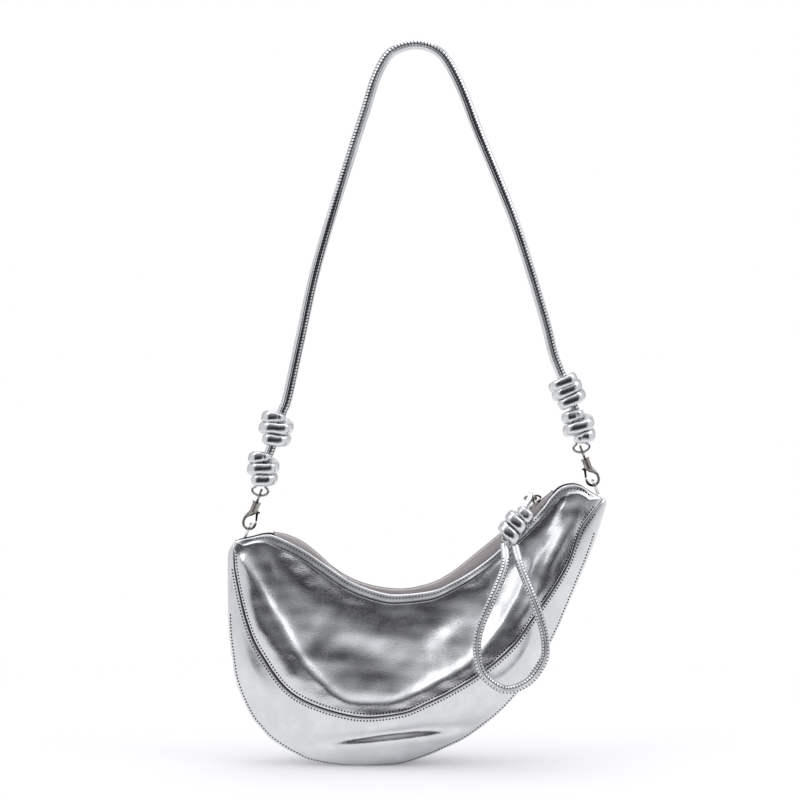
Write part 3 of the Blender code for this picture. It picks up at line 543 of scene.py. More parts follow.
def thread(name, colour):
    """Twisted polyester thread."""
    finish = Finish(name, colour, Roughness=0.85, Specular_IOR_Level=0.2)
    strands = finish.noise(0.35, detail=2, stretch=(1, 1, 2.5))
    finish.set("Base Color", finish.mix(strands, toned(colour, 0.6), colour))
    finish.relief(strands, 0.05)
    return finish.made


def make_finishes(chosen):
    silver, roughness = tuple(chosen.leather_colour), chosen.leather_roughness
    FINISHES.update(
        leather=foil_leather("foil_leather", silver, roughness, grain=1.0, wrinkle=0.12),
        smooth=foil_leather("foil_leather_smooth", silver, roughness - 0.04, grain=0.6, wrinkle=0.08),
        cord=foil_leather("foil_leather_cord", silver, roughness - 0.06, grain=0.5, wrinkle=0.05),
        nickel=polished("polished_nickel", tuple(chosen.metal_colour), 0.11),
        teeth=polished("zip_metal", toned(chosen.metal_colour, 0.95), 0.24),
        tape=woven("zip_tape_weave", tuple(chosen.tape_colour), pitch=0.55),
        lining=woven("lining_weave", tuple(chosen.lining_colour), pitch=0.7),
        thread=thread("stitch_thread", tuple(chosen.thread_colour)),
    )


# The bag's skin

def lip_distance(x, z):
    """Signed distance in the front view from the fold line: positive inside it, towards the mouth."""
    line = through(LIP, 90)
    a, b = line[:-1], line[1:]
    p = np.stack([x, z], axis=-1)[..., None, :]
    step = b - a
    share = np.clip(((p - a) * step).sum(-1) / (step * step).sum(-1), 0, 1)
    away = p - (a + share[..., None] * step)
    nearest = np.linalg.norm(away, axis=-1).argmin(-1)
    away = np.take_along_axis(away, nearest[..., None, None], -2)[..., 0, :]
    cross = step[nearest, 0] * away[..., 1] - step[nearest, 1] * away[..., 0]
    return np.linalg.norm(away, axis=-1) * np.sign(cross)


def waves(x, z, seed, size):
    """Gentle unevenness from -1 to 1 or so: a sum of sine waves in many directions, about size millimetres long."""
    chance = np.random.default_rng(seed)
    count, total = 7, 0.0
    for _ in range(count):
        angle, phase = chance.uniform(0, 2 * math.pi, 2)
        wave = size * chance.uniform(0.7, 1.6)
        total = total + np.sin((x * math.cos(angle) + z * math.sin(angle)) * 2 * math.pi / wave + phase)
    return total / math.sqrt(count)


def mound(x, z, centre, half_length, half_width, angle):
    """A soft oval hill, 1 at its centre, lying at an angle in the front view."""
    turn = math.radians(angle)
    along = (x - centre[0]) * math.cos(turn) + (z - centre[1]) * math.sin(turn)
    across = -(x - centre[0]) * math.sin(turn) + (z - centre[1]) * math.cos(turn)
    return np.exp(-((along / half_length) ** 2) - (across / half_width) ** 2)


def skin(u, v, side):
    """A place on the front skin (side -1) or the back one. u runs along the bag; v is 0 at the mouth, 1 at the
    crescent seam and 2 at the outline. In the front view the place moves along straight lines from mouth to seam
    to outline. Its depth grows from the mouth's half width to the seam's half depth, then falls as a rounded
    quarter turn. The folds add small moves outwards, and at the left the seam is drawn in."""
    u, v = np.broadcast_arrays(np.asarray(u, float), np.asarray(v, float))
    mouth, seam, edge = (line_at(line, u) for line in (MOUTH, SEAM, EDGE))
    arch = np.sin(math.pi * u).clip(0)
    depth = TIP_HALF_DEPTH + (SEAM_HALF_DEPTH - TIP_HALF_DEPTH) * arch**SEAM_FULLNESS
    width = TIP_HALF_WIDTH + (MOUTH_HALF_WIDTH - TIP_HALF_WIDTH) * arch**MOUTH_FULLNESS
    share = np.clip(v, 0, 1)
    start = math.sin(CREASE)
    turn = CREASE + np.clip(v - 1, 0, 1) * (math.pi / 2 - CREASE)
    out = (np.sin(turn) - start) / (1 - start)
    back = (np.cos(turn).clip(0) / math.cos(CREASE)) ** CRESCENT_ROUNDNESS
    place = mouth + (seam - mouth) * share[..., None] + (edge - seam) * out[..., None]
    x, z = place[..., 0], (place[..., 1] + np.hypot(place[..., 1], FOOT_ROUND)) / 2 - FOOT_DROP
    bulge = share - PANEL_WAVE * np.sin(2 * math.pi * share)
    y = (width + (depth - width) * bulge) * np.where(v > 1, back, 1) + SEAM_STEP * (v > 1)
    inward = np.linalg.norm(seam - mouth, axis=-1) * (1 - share)
    drawn = np.where(v > 1, (1 - out**2) * (1 + 0.6 * out), (1 - inward / SEAM_TURN).clip(0) ** 2)
    y = y + folds(x, z, u, v, side) - SEAM_DRAW * drawn * ease(u / 0.08) * ease((0.42 - u) / 0.2)
    return np.stack([x, side * y, z], axis=-1)


def crescent_share(out):
    """The v at which the crescent has gone the share out of its way from seam to outline, in the front view."""
    start = math.sin(CREASE)
    turn = np.arcsin(start + np.clip(out, 0, 1) * (1 - start))
    return 1 + (turn - CREASE) / (math.pi / 2 - CREASE)


def folds(x, z, u, v, side):
    """How far the skin stands out or in from its plain form. It fades out at mouth, seam, outline and corners."""
    panel = ease(np.clip(v, 0, 1) / 0.16) * ease((1 - v) / 0.05) * (v < 1)
    crescent = ease((v - 1) / 0.25) * ease((2 - v) / 0.3) * (v > 1)
    ends = ease(np.minimum(u, 1 - u) / 0.05)
    if side < 0:
        away = lip_distance(x, z)
        inside = np.log1p(np.exp(np.clip(away / LIP_SOFT, -30, 30))) * LIP_SOFT
        lip = -LIP_STEP * (1 - np.exp(-inside / LIP_WIDTH)) * ease((1 - v) / 0.03) * ease(v / 0.75)
        lip = lip + RIDGE_HEIGHT * np.exp(-((away + RIDGE_OFF) / RIDGE_WIDTH) ** 2)
        hills, bumps = FRONT_PANEL_FOLDS, FRONT_CRESCENT_FOLDS
    else:
        lip = -1.2 * np.sin(math.pi * np.clip(v, 0, 1)) ** 2
        hills, bumps = BACK_PANEL_FOLDS, BACK_CRESCENT_FOLDS
    soft = sum(height * mound(x, z, *shape) for *shape, height in hills) + lip
    # Each set of waves: its height, its seed and its size
    soft = soft + 0.35 * waves(x, z, 11 + side, 38) + 0.12 * waves(x, z, 31 + side, 13)
    low = sum(height * mound(x, z, *shape) for *shape, height in bumps) + 0.18 * waves(x, z, 51 + side, 46)
    return (soft * panel + low * crescent) * ends


def skin_normals(grid, side):
    """Unit directions out of a grid of the skin."""
    down, across = np.gradient(grid, axis=0), np.gradient(grid, axis=1)
    normal = unit(np.cross(down, across))
    rows, columns = grid.shape[:2]
    return normal * (1 if normal[rows // 2, columns // 2, 1] * side > 0 else -1)


def edge_weighted(count, power=0.6):
    """Values from 0 to 1 that crowd towards both ends, the more the smaller the power."""
    t = np.linspace(-1, 1, count)
    return (np.sign(t) * (1 - (1 - np.abs(t)) ** (1 / power)) + 1) / 2


def leather_shell(name, u, v, side, finish, node, roll, proud=0.0, lean=0.0):
    """A sheet of leather over a stretch of the skin. Its outer face rolls over by roll millimetres at the upper
    and at the lower edge, stands proud in the middle by proud, and stands out along the foot by lean."""
    grid = skin(u[None, :], v, side)
    normal = skin_normals(grid, side)
    if v.min() > 1:
        # Both crescents end in the middle plane, so there they face almost along it
        normal[-1, :, 1] *= 0.2
        normal = unit(normal)
    thickness = TIP_LEATHER + (LEATHER - TIP_LEATHER) * ease(np.minimum(u, 1 - u) / 0.08)
    near = [np.clip(np.linalg.norm(grid - edge, axis=-1) / ROLL_WIDTH, 0, 1) for edge in (grid[:1], grid[-1:])]
    drop = sum(by * (1 - np.sqrt(1 - (1 - share) ** 2)) for by, share in zip(roll, near)) * thickness / LEATHER
    down = np.linspace(0, 1, len(grid))[:, None]
    swell = (proud * np.sin(math.pi * down) ** 0.5 + lean * down**1.6) * thickness / LEATHER
    outer = grid + normal * (swell - drop)[..., None]
    return shell(name, outer, grid - normal * thickness[None, :, None], finish, "bag", SILVER, node)


def reaches(u):
    """How far it is in the front view from mouth to seam, and from seam to outline."""
    mouth, seam, edge = (line_at(line, u) for line in (MOUTH, SEAM, EDGE))
    return np.linalg.norm(seam - mouth, axis=-1), np.linalg.norm(edge - seam, axis=-1)


def facing_share(u):
    """Share of the way from mouth to seam that the facing takes up."""
    return np.minimum(FACING_DEPTH / reaches(u)[0], 0.35)


def row_on_skin(u, v, side, pitch, lift, start, end):
    """Evenly spaced places on the skin along a line u, v, with directions along it and out of the skin."""
    path = skin(u, v, side)
    length = length_of(path)
    count = int(length[-1] * (end - start) / pitch)
    at = np.linspace(start, end, count) * length[-1]
    uu, vv = np.interp(at, length, u), np.interp(at, length, v)
    here = skin(uu, vv, side)
    along = unit(np.gradient(here, axis=0))
    across = skin(uu, vv + 0.01, side) - skin(uu, vv - 0.01, side)
    out = unit(np.cross(along, across))
    out *= np.where(out[:, 1:2] * side > 0, 1, -1)
    return here + out * lift, along, out


def registered(cls):
    CLASSES.append(cls)
    return cls


COLOUR = {"subtype": "COLOR", "size": 3, "min": 0, "max": 1}
PITCH = {"subtype": "DISTANCE", "unit": "LENGTH", "min": 0.001, "max": 0.01}


@registered
class BagSettings(bpy.types.PropertyGroup):
    """Sizes and colours that a user would change."""

    leather_colour: bpy.props.FloatVectorProperty(
        name="Leather colour", description="Colour of the foil", default=(0.78, 0.79, 0.815), **COLOUR,
    )
    leather_roughness: bpy.props.FloatProperty(
        name="Leather roughness", description="How blurred the foil's reflections are", default=0.27, min=0, max=1,
        subtype="FACTOR",
    )
    metal_colour: bpy.props.FloatVectorProperty(
        name="Metal colour", description="Colour of hooks, ring and slider", default=(0.34, 0.32, 0.30), **COLOUR,
    )
    tape_colour: bpy.props.FloatVectorProperty(
        name="Tape colour", description="Colour of the zip's cloth tape", default=(0.54, 0.49, 0.50), **COLOUR,
    )
    lining_colour: bpy.props.FloatVectorProperty(
        name="Lining colour", description="Colour of the lining cloth", default=(0.10, 0.10, 0.11), **COLOUR,
    )
    thread_colour: bpy.props.FloatVectorProperty(
        name="Thread colour", description="Colour of the stitches", default=(0.02, 0.02, 0.024), **COLOUR,
    )
    stitch_pitch: bpy.props.FloatProperty(
        name="Stitch pitch", description="Distance from stitch to stitch", default=0.00235, **PITCH,
    )
    tooth_pitch: bpy.props.FloatProperty(
        name="Tooth pitch", description="Distance between teeth of one row", default=0.0024, **PITCH,
    )


def settings():
    return bpy.context.scene.bag_settings


@registered
class BAG_OT_stage(bpy.types.Operator):
    """Floor, soft studio light and the camera at the photograph's angle."""

    bl_idname = "bag.stage"
    bl_label = "Stage"

    def execute(self, context):
        make_camera()
        make_world()
        make_floor()
        make_lamps()
        return {"FINISHED"}


def make_camera():
    """A long lens level with the bag's middle, looking slightly down."""
    distance, elevation = 2200.0, math.radians(CAMERA_ELEVATION)
    target = np.array([0.0, 0.0, (TABLE_ROW - PICTURE / 2) * PIXEL])
    place = target + distance * np.array([0, -math.cos(elevation), math.sin(elevation)])
    camera = bpy.data.cameras.new("camera")
    camera.sensor_width = 36
    camera.lens = camera.sensor_width * distance / (PICTURE * PIXEL)
    camera.clip_start, camera.clip_end = 0.05, 60
    made = placed("camera", camera)
    made.location = (place - ORIGIN) * MM
    made.rotation_euler = (math.pi / 2 - elevation, 0, 0)
    bpy.context.scene.camera = made


def make_world():
    """Soft room light: bright overhead and at the sides, less so behind the bag and low down, and dim in front,
    where the camera stands. The camera itself sees plain white, and what mirrors or shines through sees white
    straight behind the bag."""
    world = bpy.data.worlds.new("studio")
    bpy.context.scene.world = world
    world.use_nodes = True
    nodes = Nodes(world.node_tree)
    nodes.tree.nodes.clear()
    x, y, z = nodes.parts(nodes.node("ShaderNodeTexCoord", output="Generated"))
    high = z.step(0.40, 0.92)
    aside = (x * x).step(0.32, 0.66)
    behind = y.step(-0.2, 0.5)
    low = (z * -1).step(0.22, 0.55)
    light = high.at_least(aside * 0.85).at_least(behind * 0.50).at_least(low * 0.8)
    middle = z.step(0.05, 0.42) * 0.25
    level = (light * (1 - middle) + middle) * 0.97 + 0.03
    colour = nodes.node("ShaderNodeCombineColor", {0: level * 0.985, 1: level * 0.99, 2: level * 1.01})
    room = nodes.node("ShaderNodeBackground", {"Color": colour, "Strength": 1.0})
    white = nodes.node("ShaderNodeBackground", {"Color": WHITE, "Strength": 1.0})
    camera, mirrored, shone_through = nodes.ray_kinds()
    backdrop = mirrored.at_least(shone_through) * y.step(0.80, 0.98)
    mixed = nodes.node("ShaderNodeMixShader", {0: camera.at_least(backdrop), 1: room, 2: white})
    nodes.fill(nodes.tree.nodes.new("ShaderNodeOutputWorld").inputs["Surface"], mixed)


def make_floor():
    """A pale sheet that the bag stands on. Near the bag it keeps the shadow. Further off it runs out to plain
    white, sooner for what mirrors it than for the camera, so that no edge shows against the backdrop."""
    half, front = 0.9, -0.45
    mesh = bpy.data.meshes.new("floor")
    mesh.from_pydata([(-half, front, 0), (half, front, 0), (half, half, 0), (-half, half, 0)], [], [(0, 1, 2, 3)])
    made = placed("floor", mesh)
    finish = Finish("floor_white", (0.98, 0.98, 0.985), Roughness=0.7)
    glow = finish.node("ShaderNodeEmission", {"Color": WHITE, "Strength": 1.0})
    camera, mirrored, shone_through = finish.ray_kinds()
    x, y, _ = finish.parts(finish.node("ShaderNodeTexCoord", output="Object"))
    # In front of the bag each step counts twice, because the sheet ends nearer there
    y = y.at_least(y * -2)
    away = (x * x + y * y) ** 0.5
    # The share of plain white, from near the bag to far off
    seen = camera * (away.step(0.10, 0.60) * 0.80 + 0.20)
    seen = seen.at_least(mirrored.at_least(shone_through) * (away.step(0.03, 0.14) * 0.85 + 0.15))
    shader = Value(finish, finish.shader.outputs[0])
    mixed = finish.node("ShaderNodeMixShader", {0: seen, 1: shader, 2: glow})
    finish.fill(finish.tree.nodes["Material Output"].inputs["Surface"], mixed)
    mesh.materials.append(finish.made)


def make_lamps():
    """Two large soft boxes above the sides and one overhead, all turned to the bag: place, size, power."""
    boxes = (
        ("left_box", (-1.1, -0.7, 1.3), 0.9, 3.6), ("right_box", (1.2, -0.5, 1.2), 0.9, 3.6),
        ("top_box", (0.0, 0.1, 1.7), 1.1, 5.2),
    )
    bag = Vector((0, 0, 0.15))
    for name, place, size, power in boxes:
        lamp = bpy.data.lights.new(name, "AREA")
        lamp.shape, lamp.size, lamp.energy = "SQUARE", size, power
        made = placed(name, lamp)
        made.location = place
        made.rotation_euler = (Vector(place) - bag).to_track_quat("Z", "Y").to_euler()


@registered
class BAG_OT_leather(bpy.types.Operator):
    """Panels, crescents and facings of both sides. The groove under a facing fades out near both corners."""

    bl_idname = "bag.leather"
    bl_label = "Leather"

    def execute(self, context):
        u = edge_weighted(220, 0.75)
        share = facing_share(u)
        clear = ease((u - 0.05) / 0.08) * ease((0.91 - u) / 0.06)
        thin = ease(np.minimum(u, 1 - u) / 0.06) * 0.75 + 0.25
        groove, foot, gap = (0.4 * clear + 0.02) * thin, 0.1 + 0.6 * clear, 0.4 * thin
        drop, reach = reaches(u)
        # Each sheet's finish, rows, v at its upper and lower edge, roll of both edges, proud and lean
        sheets = (
            ("facing", "smooth", 14, 0, share - groove / drop, (EDGE_ROLL, foot), 0.3, 2.4),
            ("panel", "leather", 72, share + groove / drop, 1 - gap / drop, (foot, EDGE_ROLL), 0, 0),
            ("crescent", "smooth", 56, crescent_share(gap / np.maximum(reach, 1)), 2, (EDGE_ROLL, 0), 0, 0),
        )
        for side, name in SIDES:
            for sheet, finish, rows, low, high, roll, proud, lean in sheets:
                v = low + (high - low) * edge_weighted(rows)[:, None]
                leather_shell(f"{name}_{sheet}_leather", u, v, side, finish, f"{name}_{sheet}", roll, proud, lean)
        return {"FINISHED"}


@registered
class BAG_OT_seams(bpy.types.Operator):
    """A dark rod down in each seam, painted shade for the gap between panel and crescent, and every row of stitches on
    the bag.
    """

    bl_idname = "bag.seams"
    bl_label = "Seams"

    def execute(self, context):
        pitch = settings().stitch_pitch / MM
        u = np.linspace(0.004, 0.996, 500)
        drop, reach = reaches(u)
        # Rows above and below the seam, inside the outline and on the facing: v, start, end, height off the leather
        rows = (
            (1 - np.minimum(SEAM_MARGIN / drop, 0.5), 0.02, 0.98, 0.10),
            (crescent_share(SEAM_MARGIN / np.maximum(reach, 2.8)), 0.04, 0.97, 0.10),
            (crescent_share(1 - OUTLINE_MARGIN / np.maximum(reach, 9)), 0.10, 0.95, 0.10),
            (facing_share(u) * 0.42, 0.05, 0.97, 0.75),
        )
        thin = ease(np.minimum(u, 1 - u) / 0.06) * 0.65 + 0.35
        for side, name in SIDES:
            # A rod in the dark thread finish, sunk into each seam's gap: painted shade that darkens the gap between
            # panel and crescent
            path = skin(u, np.ones_like(u), side) - (0, side * 0.55, 0)
            rod(f"{name}_seam_shade_rod", path, 0.5 * thin, (0, side, 0), 12, "thread", "bag", SILVER)
            made = [
                beads(*row_on_skin(u, v, side, pitch, lift, start, end), *STITCH) for v, start, end, lift in rows
            ]
            piece(f"{name}_stitches", *joined(made), "thread", "bag", SILVER)
        return {"FINISHED"}


@registered
class BAG_OT_lining(bpy.types.Operator):
    """The two lining halves and the slip pocket on the back one."""

    bl_idname = "bag.lining"
    bl_label = "Lining"

    def execute(self, context):
        u = np.linspace(*LINING_SPAN, 120)
        top, foot = facing_share(u) * 0.3, 1.96
        for side, name in SIDES:
            grid = skin(u[None, :], top + (foot - top) * np.linspace(0, 1, 60)[:, None], side)
            normal = skin_normals(grid, side)
            ripple = 0.25 * np.sin(np.linspace(0, 60, 120))[None, :, None]
            outer = grid - normal * (3.2 + ripple)
            # The cloth lies flat on the bottom leather
            outer[..., 2] = np.maximum(outer[..., 2], 3.3)
            shell(f"{name}_lining_cloth", outer, outer - normal * CLOTH, "lining", "bag", LINING, f"{name}_lining")
        down = np.linspace(0, 1, 40)[:, None]
        grid = skin(np.linspace(*POCKET_SPAN, 60)[None, :], 0.28 + 0.72 * down, 1)
        normal = skin_normals(grid, 1)
        outer = grid - normal * 5.5
        hem = np.where(down[..., None] < 0.12, 0.35, 0.0)
        inner = outer - normal * (CLOTH + hem)
        shell("back_slip_pocket_cloth", outer, inner, "lining", "bag", LINING, "back_slip_pocket")
        return {"FINISHED"}


def zip_places(count, start=0.0, end=1.0):
    """Places along the zip with unit directions along it and up from its tape."""
    line = in_front_view(through(ZIP_LINE, count, start, end))
    along = unit(np.gradient(line, axis=0))
    return line, along, np.stack([-along[:, 2], np.zeros(count), along[:, 0]], axis=1)


def zip_spread(x, lead=0.0):
    """How far each half of the zip stands off the middle past the slider."""
    return ZIP_PARTING * ease((x - SLIDER_X + 1.5 + lead) / 3.0)


@registered
class BAG_OT_zip(bpy.types.Operator):
    """Cloth tapes with a corded edge, single metal teeth and the end stops."""

    bl_idname = "bag.zip"
    bl_label = "Zip"

    def execute(self, context):
        count = 240
        line, _, up = zip_places(count)
        mouth = in_front_view(through(MOUTH, count, *ZIP_ON_MOUTH))
        for side, name in SIDES:
            aside = np.array([0, side, 0])
            spread = zip_spread(line[:, 0], 6)[:, None] * aside
            # The tape goes level from the teeth to a shelf, then down to the facing
            top = line + 2.05 * aside + spread
            shelf = line + 5.0 * aside + spread * 0.5
            foot = mouth + 5.25 * aside - up * 1.2
            rows = [top + (shelf - top) * t for t in np.linspace(0, 1, 7)]
            rows += [shelf + (foot - shelf) * t for t in np.linspace(0, 1, 6)[1:]]
            surface = np.array(rows)
            normal = skin_normals(surface, side)
            normal *= np.where((normal * up).sum(-1, keepdims=True) < 0, -1, 1)
            bead = 0.32 * np.exp(-(np.linspace(0, 6, len(rows)) ** 2))[:, None, None]
            cloth = normal * (0.3 + bead)
            shell(f"{name}_tape_cloth", surface + cloth, surface - cloth, "tape", "bag", TAPE, f"{name}_zip_tape")
            self.add_teeth(name, side)
        ends, along, up = zip_places(60)
        # Each stop's end of the zip, how far it is past it and off the middle, and its half sizes
        for stop, end, past, off, half in (
            ("closed_end_stop", 0, -0.2, 0, (0.9, 1.7, 1.3)),
            ("front_open_end_stop", -1, 0.1, -2.3, (0.8, 0.9, 1.3)),
            ("back_open_end_stop", -1, 0.1, 2.3, (0.8, 0.9, 1.3)),
        ):
            place = ends[end] + along[end] * past + (0, off, 0)
            made = beads(place[None], along[end][None], up[end][None], *half, sides=16, rings=9)
            piece(f"{stop}_metal", *made, "teeth", "bag", NICKEL, stop)
        return {"FINISHED"}

    def add_teeth(self, name, side):
        """Teeth of one row: a rounded head each across the middle line, and a grip on the tape's edge. They stand
        half a pitch from the other row's."""
        pitch = settings().tooth_pitch / MM
        total = length_of(zip_places(400)[0])[-1]
        count = int(total * 0.975 / pitch)
        start = 0.014 - side * 0.25 * pitch / total
        line, along, up = zip_places(count, start, start + (count - 1) * pitch / total)
        aside = np.tile((0.0, float(side), 0.0), (count, 1))
        off = zip_spread(line[:, 0])[:, None]
        heads = beads(line + aside * (0.62 + off), aside, up, *TOOTH_HEAD, sides=8)
        grips = beads(line + aside * (1.25 + off), aside, up, *TOOTH_GRIP, sides=8, rings=3)
        piece(f"{name}_teeth_metal", *joined([heads, grips]), "teeth", "bag", NICKEL, f"{name}_zip_teeth")


def dressed(node, body, bevel):
    """A rounded copy of a packed metal piece: its triangles are merged and its edges get a small bevel, given in
    millimetres."""
    shape = bmesh.new()
    shape.from_mesh(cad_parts[node].data)
    bmesh.ops.remove_doubles(shape, verts=shape.verts, dist=1e-6)
    bmesh.ops.dissolve_limit(shape, angle_limit=math.radians(2), verts=shape.verts, edges=shape.edges)
    mesh = bpy.data.meshes.new(f"{node}_metal")
    shape.to_mesh(mesh)
    shape.free()
    mesh.materials.clear()
    mesh.materials.append(FINISHES["nickel"])
    mesh.shade_smooth()
    mesh.set_sharp_from_angle(angle=math.radians(35))
    made = placed(f"{node}_metal", mesh)
    rounding = made.modifiers.new("rounding", "BEVEL")
    rounding.width, rounding.segments, rounding.limit_method = bevel * MM, 3, "ANGLE"
    rounding.angle_limit = math.radians(30)
    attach(made, body)
    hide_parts(node)
    return made


def pull_ring_frame():
    """The ring's middle, and the two directions in its plane. It hangs to the left from the hole in the slider's
    crown, tilted back."""
    along = unit((1.0, 0.0, ZIP_SLOPE))
    slider = np.array([SLIDER_X, 0, ZIP_BEND[1] + ZIP_SLOPE * (SLIDER_X - ZIP_BEND[0])])
    crown = slider + along * CROWN_ALONG + np.array([-along[2], 0, along[0]]) * CROWN_UP
    tilt = math.radians(RING_TILT)
    left, back = np.array([-1.0, 0, 0]), np.array([0, math.cos(tilt), math.sin(tilt)])
    return crown + RING_RADIUS * left, left, back


@registered
class BAG_OT_slider(bpy.types.Operator):
    """The zip slider with its crown, and the pull ring."""

    bl_idname = "bag.slider"
    bl_label = "Slider"

    def execute(self, context):
        dressed("zip_slider", "slider", 0.25)
        hoop(
            "pull_ring_metal", *pull_ring_frame(), RING_RADIUS, RING_WIRE, "nickel", "pull_ring", NICKEL, "pull_ring"
        )
        return {"FINISHED"}


def squared(value, power):
    """A value of either sign raised to a power: below 1 it turns a circle towards a rounded square."""
    return np.sign(value) * np.abs(value) ** power


def strip_loop(name, top, down, across, radius, reach, width, thickness, body, node, pinch=0.5, close=0.7, flat=1.0,
               drift=(0, 0, 0)):
    """A leather strip bent over a wire: half a turn about the place top, flattened by flat, then two legs that draw
    together to the share pinch within the share close of their reach, and drift aside. Its section is a flat
    oval, x and y as powers of cosine and sine."""
    top, down, across = np.asarray(top, float), unit(down), unit(across)
    turn = np.linspace(0, math.pi, 25)[:, None]
    middle = radius + thickness / 2
    bend = top + middle * (across * np.cos(turn) - down * flat * np.sin(turn))
    leg = np.linspace(0, 1, 16)[1:, None]
    narrow = middle * (1 - (1 - pinch) * ease(leg / close))
    fall = top + down * reach * leg + np.array(drift) * ease(leg)
    right, left = (fall + side * across * narrow for side in (1, -1))
    path = resampled(smoothed(np.vstack([right[::-1], bend, left]), 3), 90)
    t = round_turn(20)
    section = np.stack([squared(np.cos(t), 0.5) * width / 2, squared(np.sin(t), 0.7) * thickness / 2], axis=1)
    return tube(name, carried(path, np.cross(down, across), section), "cord", body, SILVER, node)


def wound_knot(name, top, bottom, radius, cord, turns, phase, body, node, seed, hand=1):
    """A cord wound round a line: place = line + radius (across cos t + back sin t), t growing with the share of the
    turns. The way round is a rounded square, and it sways a little. The ends are tucked in and taper. The cord's
    section is a circle flattened where turns press together, with faint creases. hand is the way it winds."""
    top, bottom = np.asarray(top, float), np.asarray(bottom, float)
    axis = unit(bottom - top)
    across = unit(np.cross(axis, (0, 1, 0)))
    back = np.cross(axis, across)
    share = np.linspace(0, 1, 260)[:, None]
    turn = (share * turns + phase) * 2 * math.pi * hand
    chance = np.random.default_rng(seed)
    sway = sum(
        chance.uniform(0.25, 0.6) * np.sin(share * 2 * math.pi * chance.uniform(0.8, 2.6) + chance.uniform(0, 6.3))
        for _ in range(3)
    )
    tuck = 1 - 0.30 * ease((share - 0.9) / 0.1) - 0.30 * ease((0.1 - share) / 0.1)
    oval = across * squared(np.cos(turn), 0.68) + back * squared(np.sin(turn), 0.68)
    helix = top + (bottom - top) * share + axis * 0.45 * sway + radius * (1 + 0.03 * sway) * tuck * oval
    along = unit(np.gradient(helix, axis=0))
    out = unit(oval)
    out = unit(out - (out * along).sum(1, keepdims=True) * along)
    side = np.cross(along, out)
    thick = cord * (1 - 0.55 * ease((share - 0.93) / 0.07) - 0.55 * ease((0.07 - share) / 0.07))
    t = round_turn(28)
    # Two waves along the cord whose pitch drifts, strongest on its sides
    crease = sum(
        height * np.sin(share * fast + drift * np.sin(share * slow))
        for height, fast, drift, slow in ((0.03, 130, 2.0, 21), (0.025, 57, 3.0, 17))
    )
    crease = 1 + crease * (0.4 + 0.6 * np.sin(t) ** 2)
    flatten = np.stack([squared(np.cos(t), 0.65) * 0.94, squared(np.sin(t), 0.8) * 1.10], axis=1)
    rings = helix[:, None] + (thick * crease)[..., None] * (
        flatten[None, :, :1] * out[:, None] + flatten[None, :, 1:] * side[:, None]
    )
    return tube(name, rings, "cord", body, SILVER, node)


def rolled_cord(path, up, radius, seam, grooves):
    """A leather strip rolled into a cord: a circle with grooves along it. seam is the angle from the lift
    direction to the middle of its seam, for the whole path or for each place. Each groove has its own angle from
    the seam, depth as a share of the radius and half width as an angle, and the section's places crowd there."""
    fine = np.concatenate([angle + np.linspace(-2.2, 2.2, 9) * width for angle, _, width in grooves])
    coarse = np.arange(-14, 14) * math.pi / 14
    coarse = coarse[np.abs(coarse[:, None] - fine).min(1) > 0.08]
    local = np.sort(np.concatenate([fine, coarse]))
    profile = radius * (1 - sum(depth * np.exp(-(((local - angle) / width) ** 2)) for angle, depth, width in grooves))
    turn = np.broadcast_to(seam, len(path))[:, None] + local
    return carried(path, up, np.stack([profile * np.cos(turn), profile * np.sin(turn)], axis=-1))


def laid_stitches(path, up, radius, seam, reach, pitch, start=0.01, end=0.99):
    """Threads laid over a cord, one every pitch, each a bent rod from one side of the seam to the other: place +
    radius (lift cos a + side sin a) + slant along the cord, for a within reach of the seam."""
    thick, slant, steps, sides = 0.42, 0.25, 7, 6
    count = int(length_of(path)[-1] * (end - start) / pitch)
    share = np.linspace(start, end, count)
    here = resampled(path, count, start, end)
    lift, side = (d[:, None, None] for d in frames(here, up))
    along = unit(np.gradient(here, axis=0))[:, None, None]
    middle = np.interp(share, np.linspace(0, 1, len(path)), np.broadcast_to(seam, len(path)))
    s = np.linspace(-1, 1, steps)[None, :, None, None]
    t = round_turn(sides)[None, None, :, None]
    angle = middle[:, None, None, None] + reach * s
    size = thick * (1 - 0.75 * s**4)
    out = lift * np.cos(angle) + side * np.sin(angle)
    points = here[:, None, None] + out * (radius + size * 0.8 * np.cos(t))
    points = points + along * (size * np.sin(t) + slant * reach * radius * s)
    return points.reshape(-1, 3), repeated(ring_faces(steps, sides), steps * sides, count)


@registered
class BAG_OT_pull(bpy.types.Operator):
    """The zip pull: leather link, wound knot and stitched loop."""

    bl_idname = "bag.pull"
    bl_label = "Zip pull"

    def execute(self, context):
        centre, _, back = pull_ring_frame()
        hook = centre - RING_RADIUS * back
        down = np.array(PULL_KNOT_AXIS[0]) - hook
        drift = np.array([down[0], 0, 0]) * 0.8
        down[0] = 0
        across = np.cross(unit(down), (1, 0, 0))
        strip_loop(
            "pull_link_leather", hook, down, across, radius=2.1, reach=13.0, width=3.2, thickness=1.3,
            body="pull", node="pull_link", drift=drift,
        )
        wound_knot(
            "pull_knot_leather", *PULL_KNOT_AXIS, radius=5.7, cord=3.8 + KNOT_SWELL, turns=2.7, phase=0.6,
            body="pull", node="pull_knot", seed=5, hand=-1,
        )
        path = through(PULL_LOOP, 320)
        up = (0, 1, 0)
        rings = rolled_cord(path, up, PULL_LOOP_RADIUS, math.pi, [(0.0, 0.16, 0.12)])
        tube("pull_loop_leather", rings, "cord", "pull", SILVER, "pull_loop")
        rows = [
            laid_stitches(path, up, PULL_LOOP_RADIUS, math.pi + aside, reach=0.28, pitch=2.3, start=0.05, end=0.95)
            for aside in (-0.62, 0.62)
        ]
        piece("pull_loop_stitches", *joined(rows), "thread", "pull", SILVER)
        return {"FINISHED"}


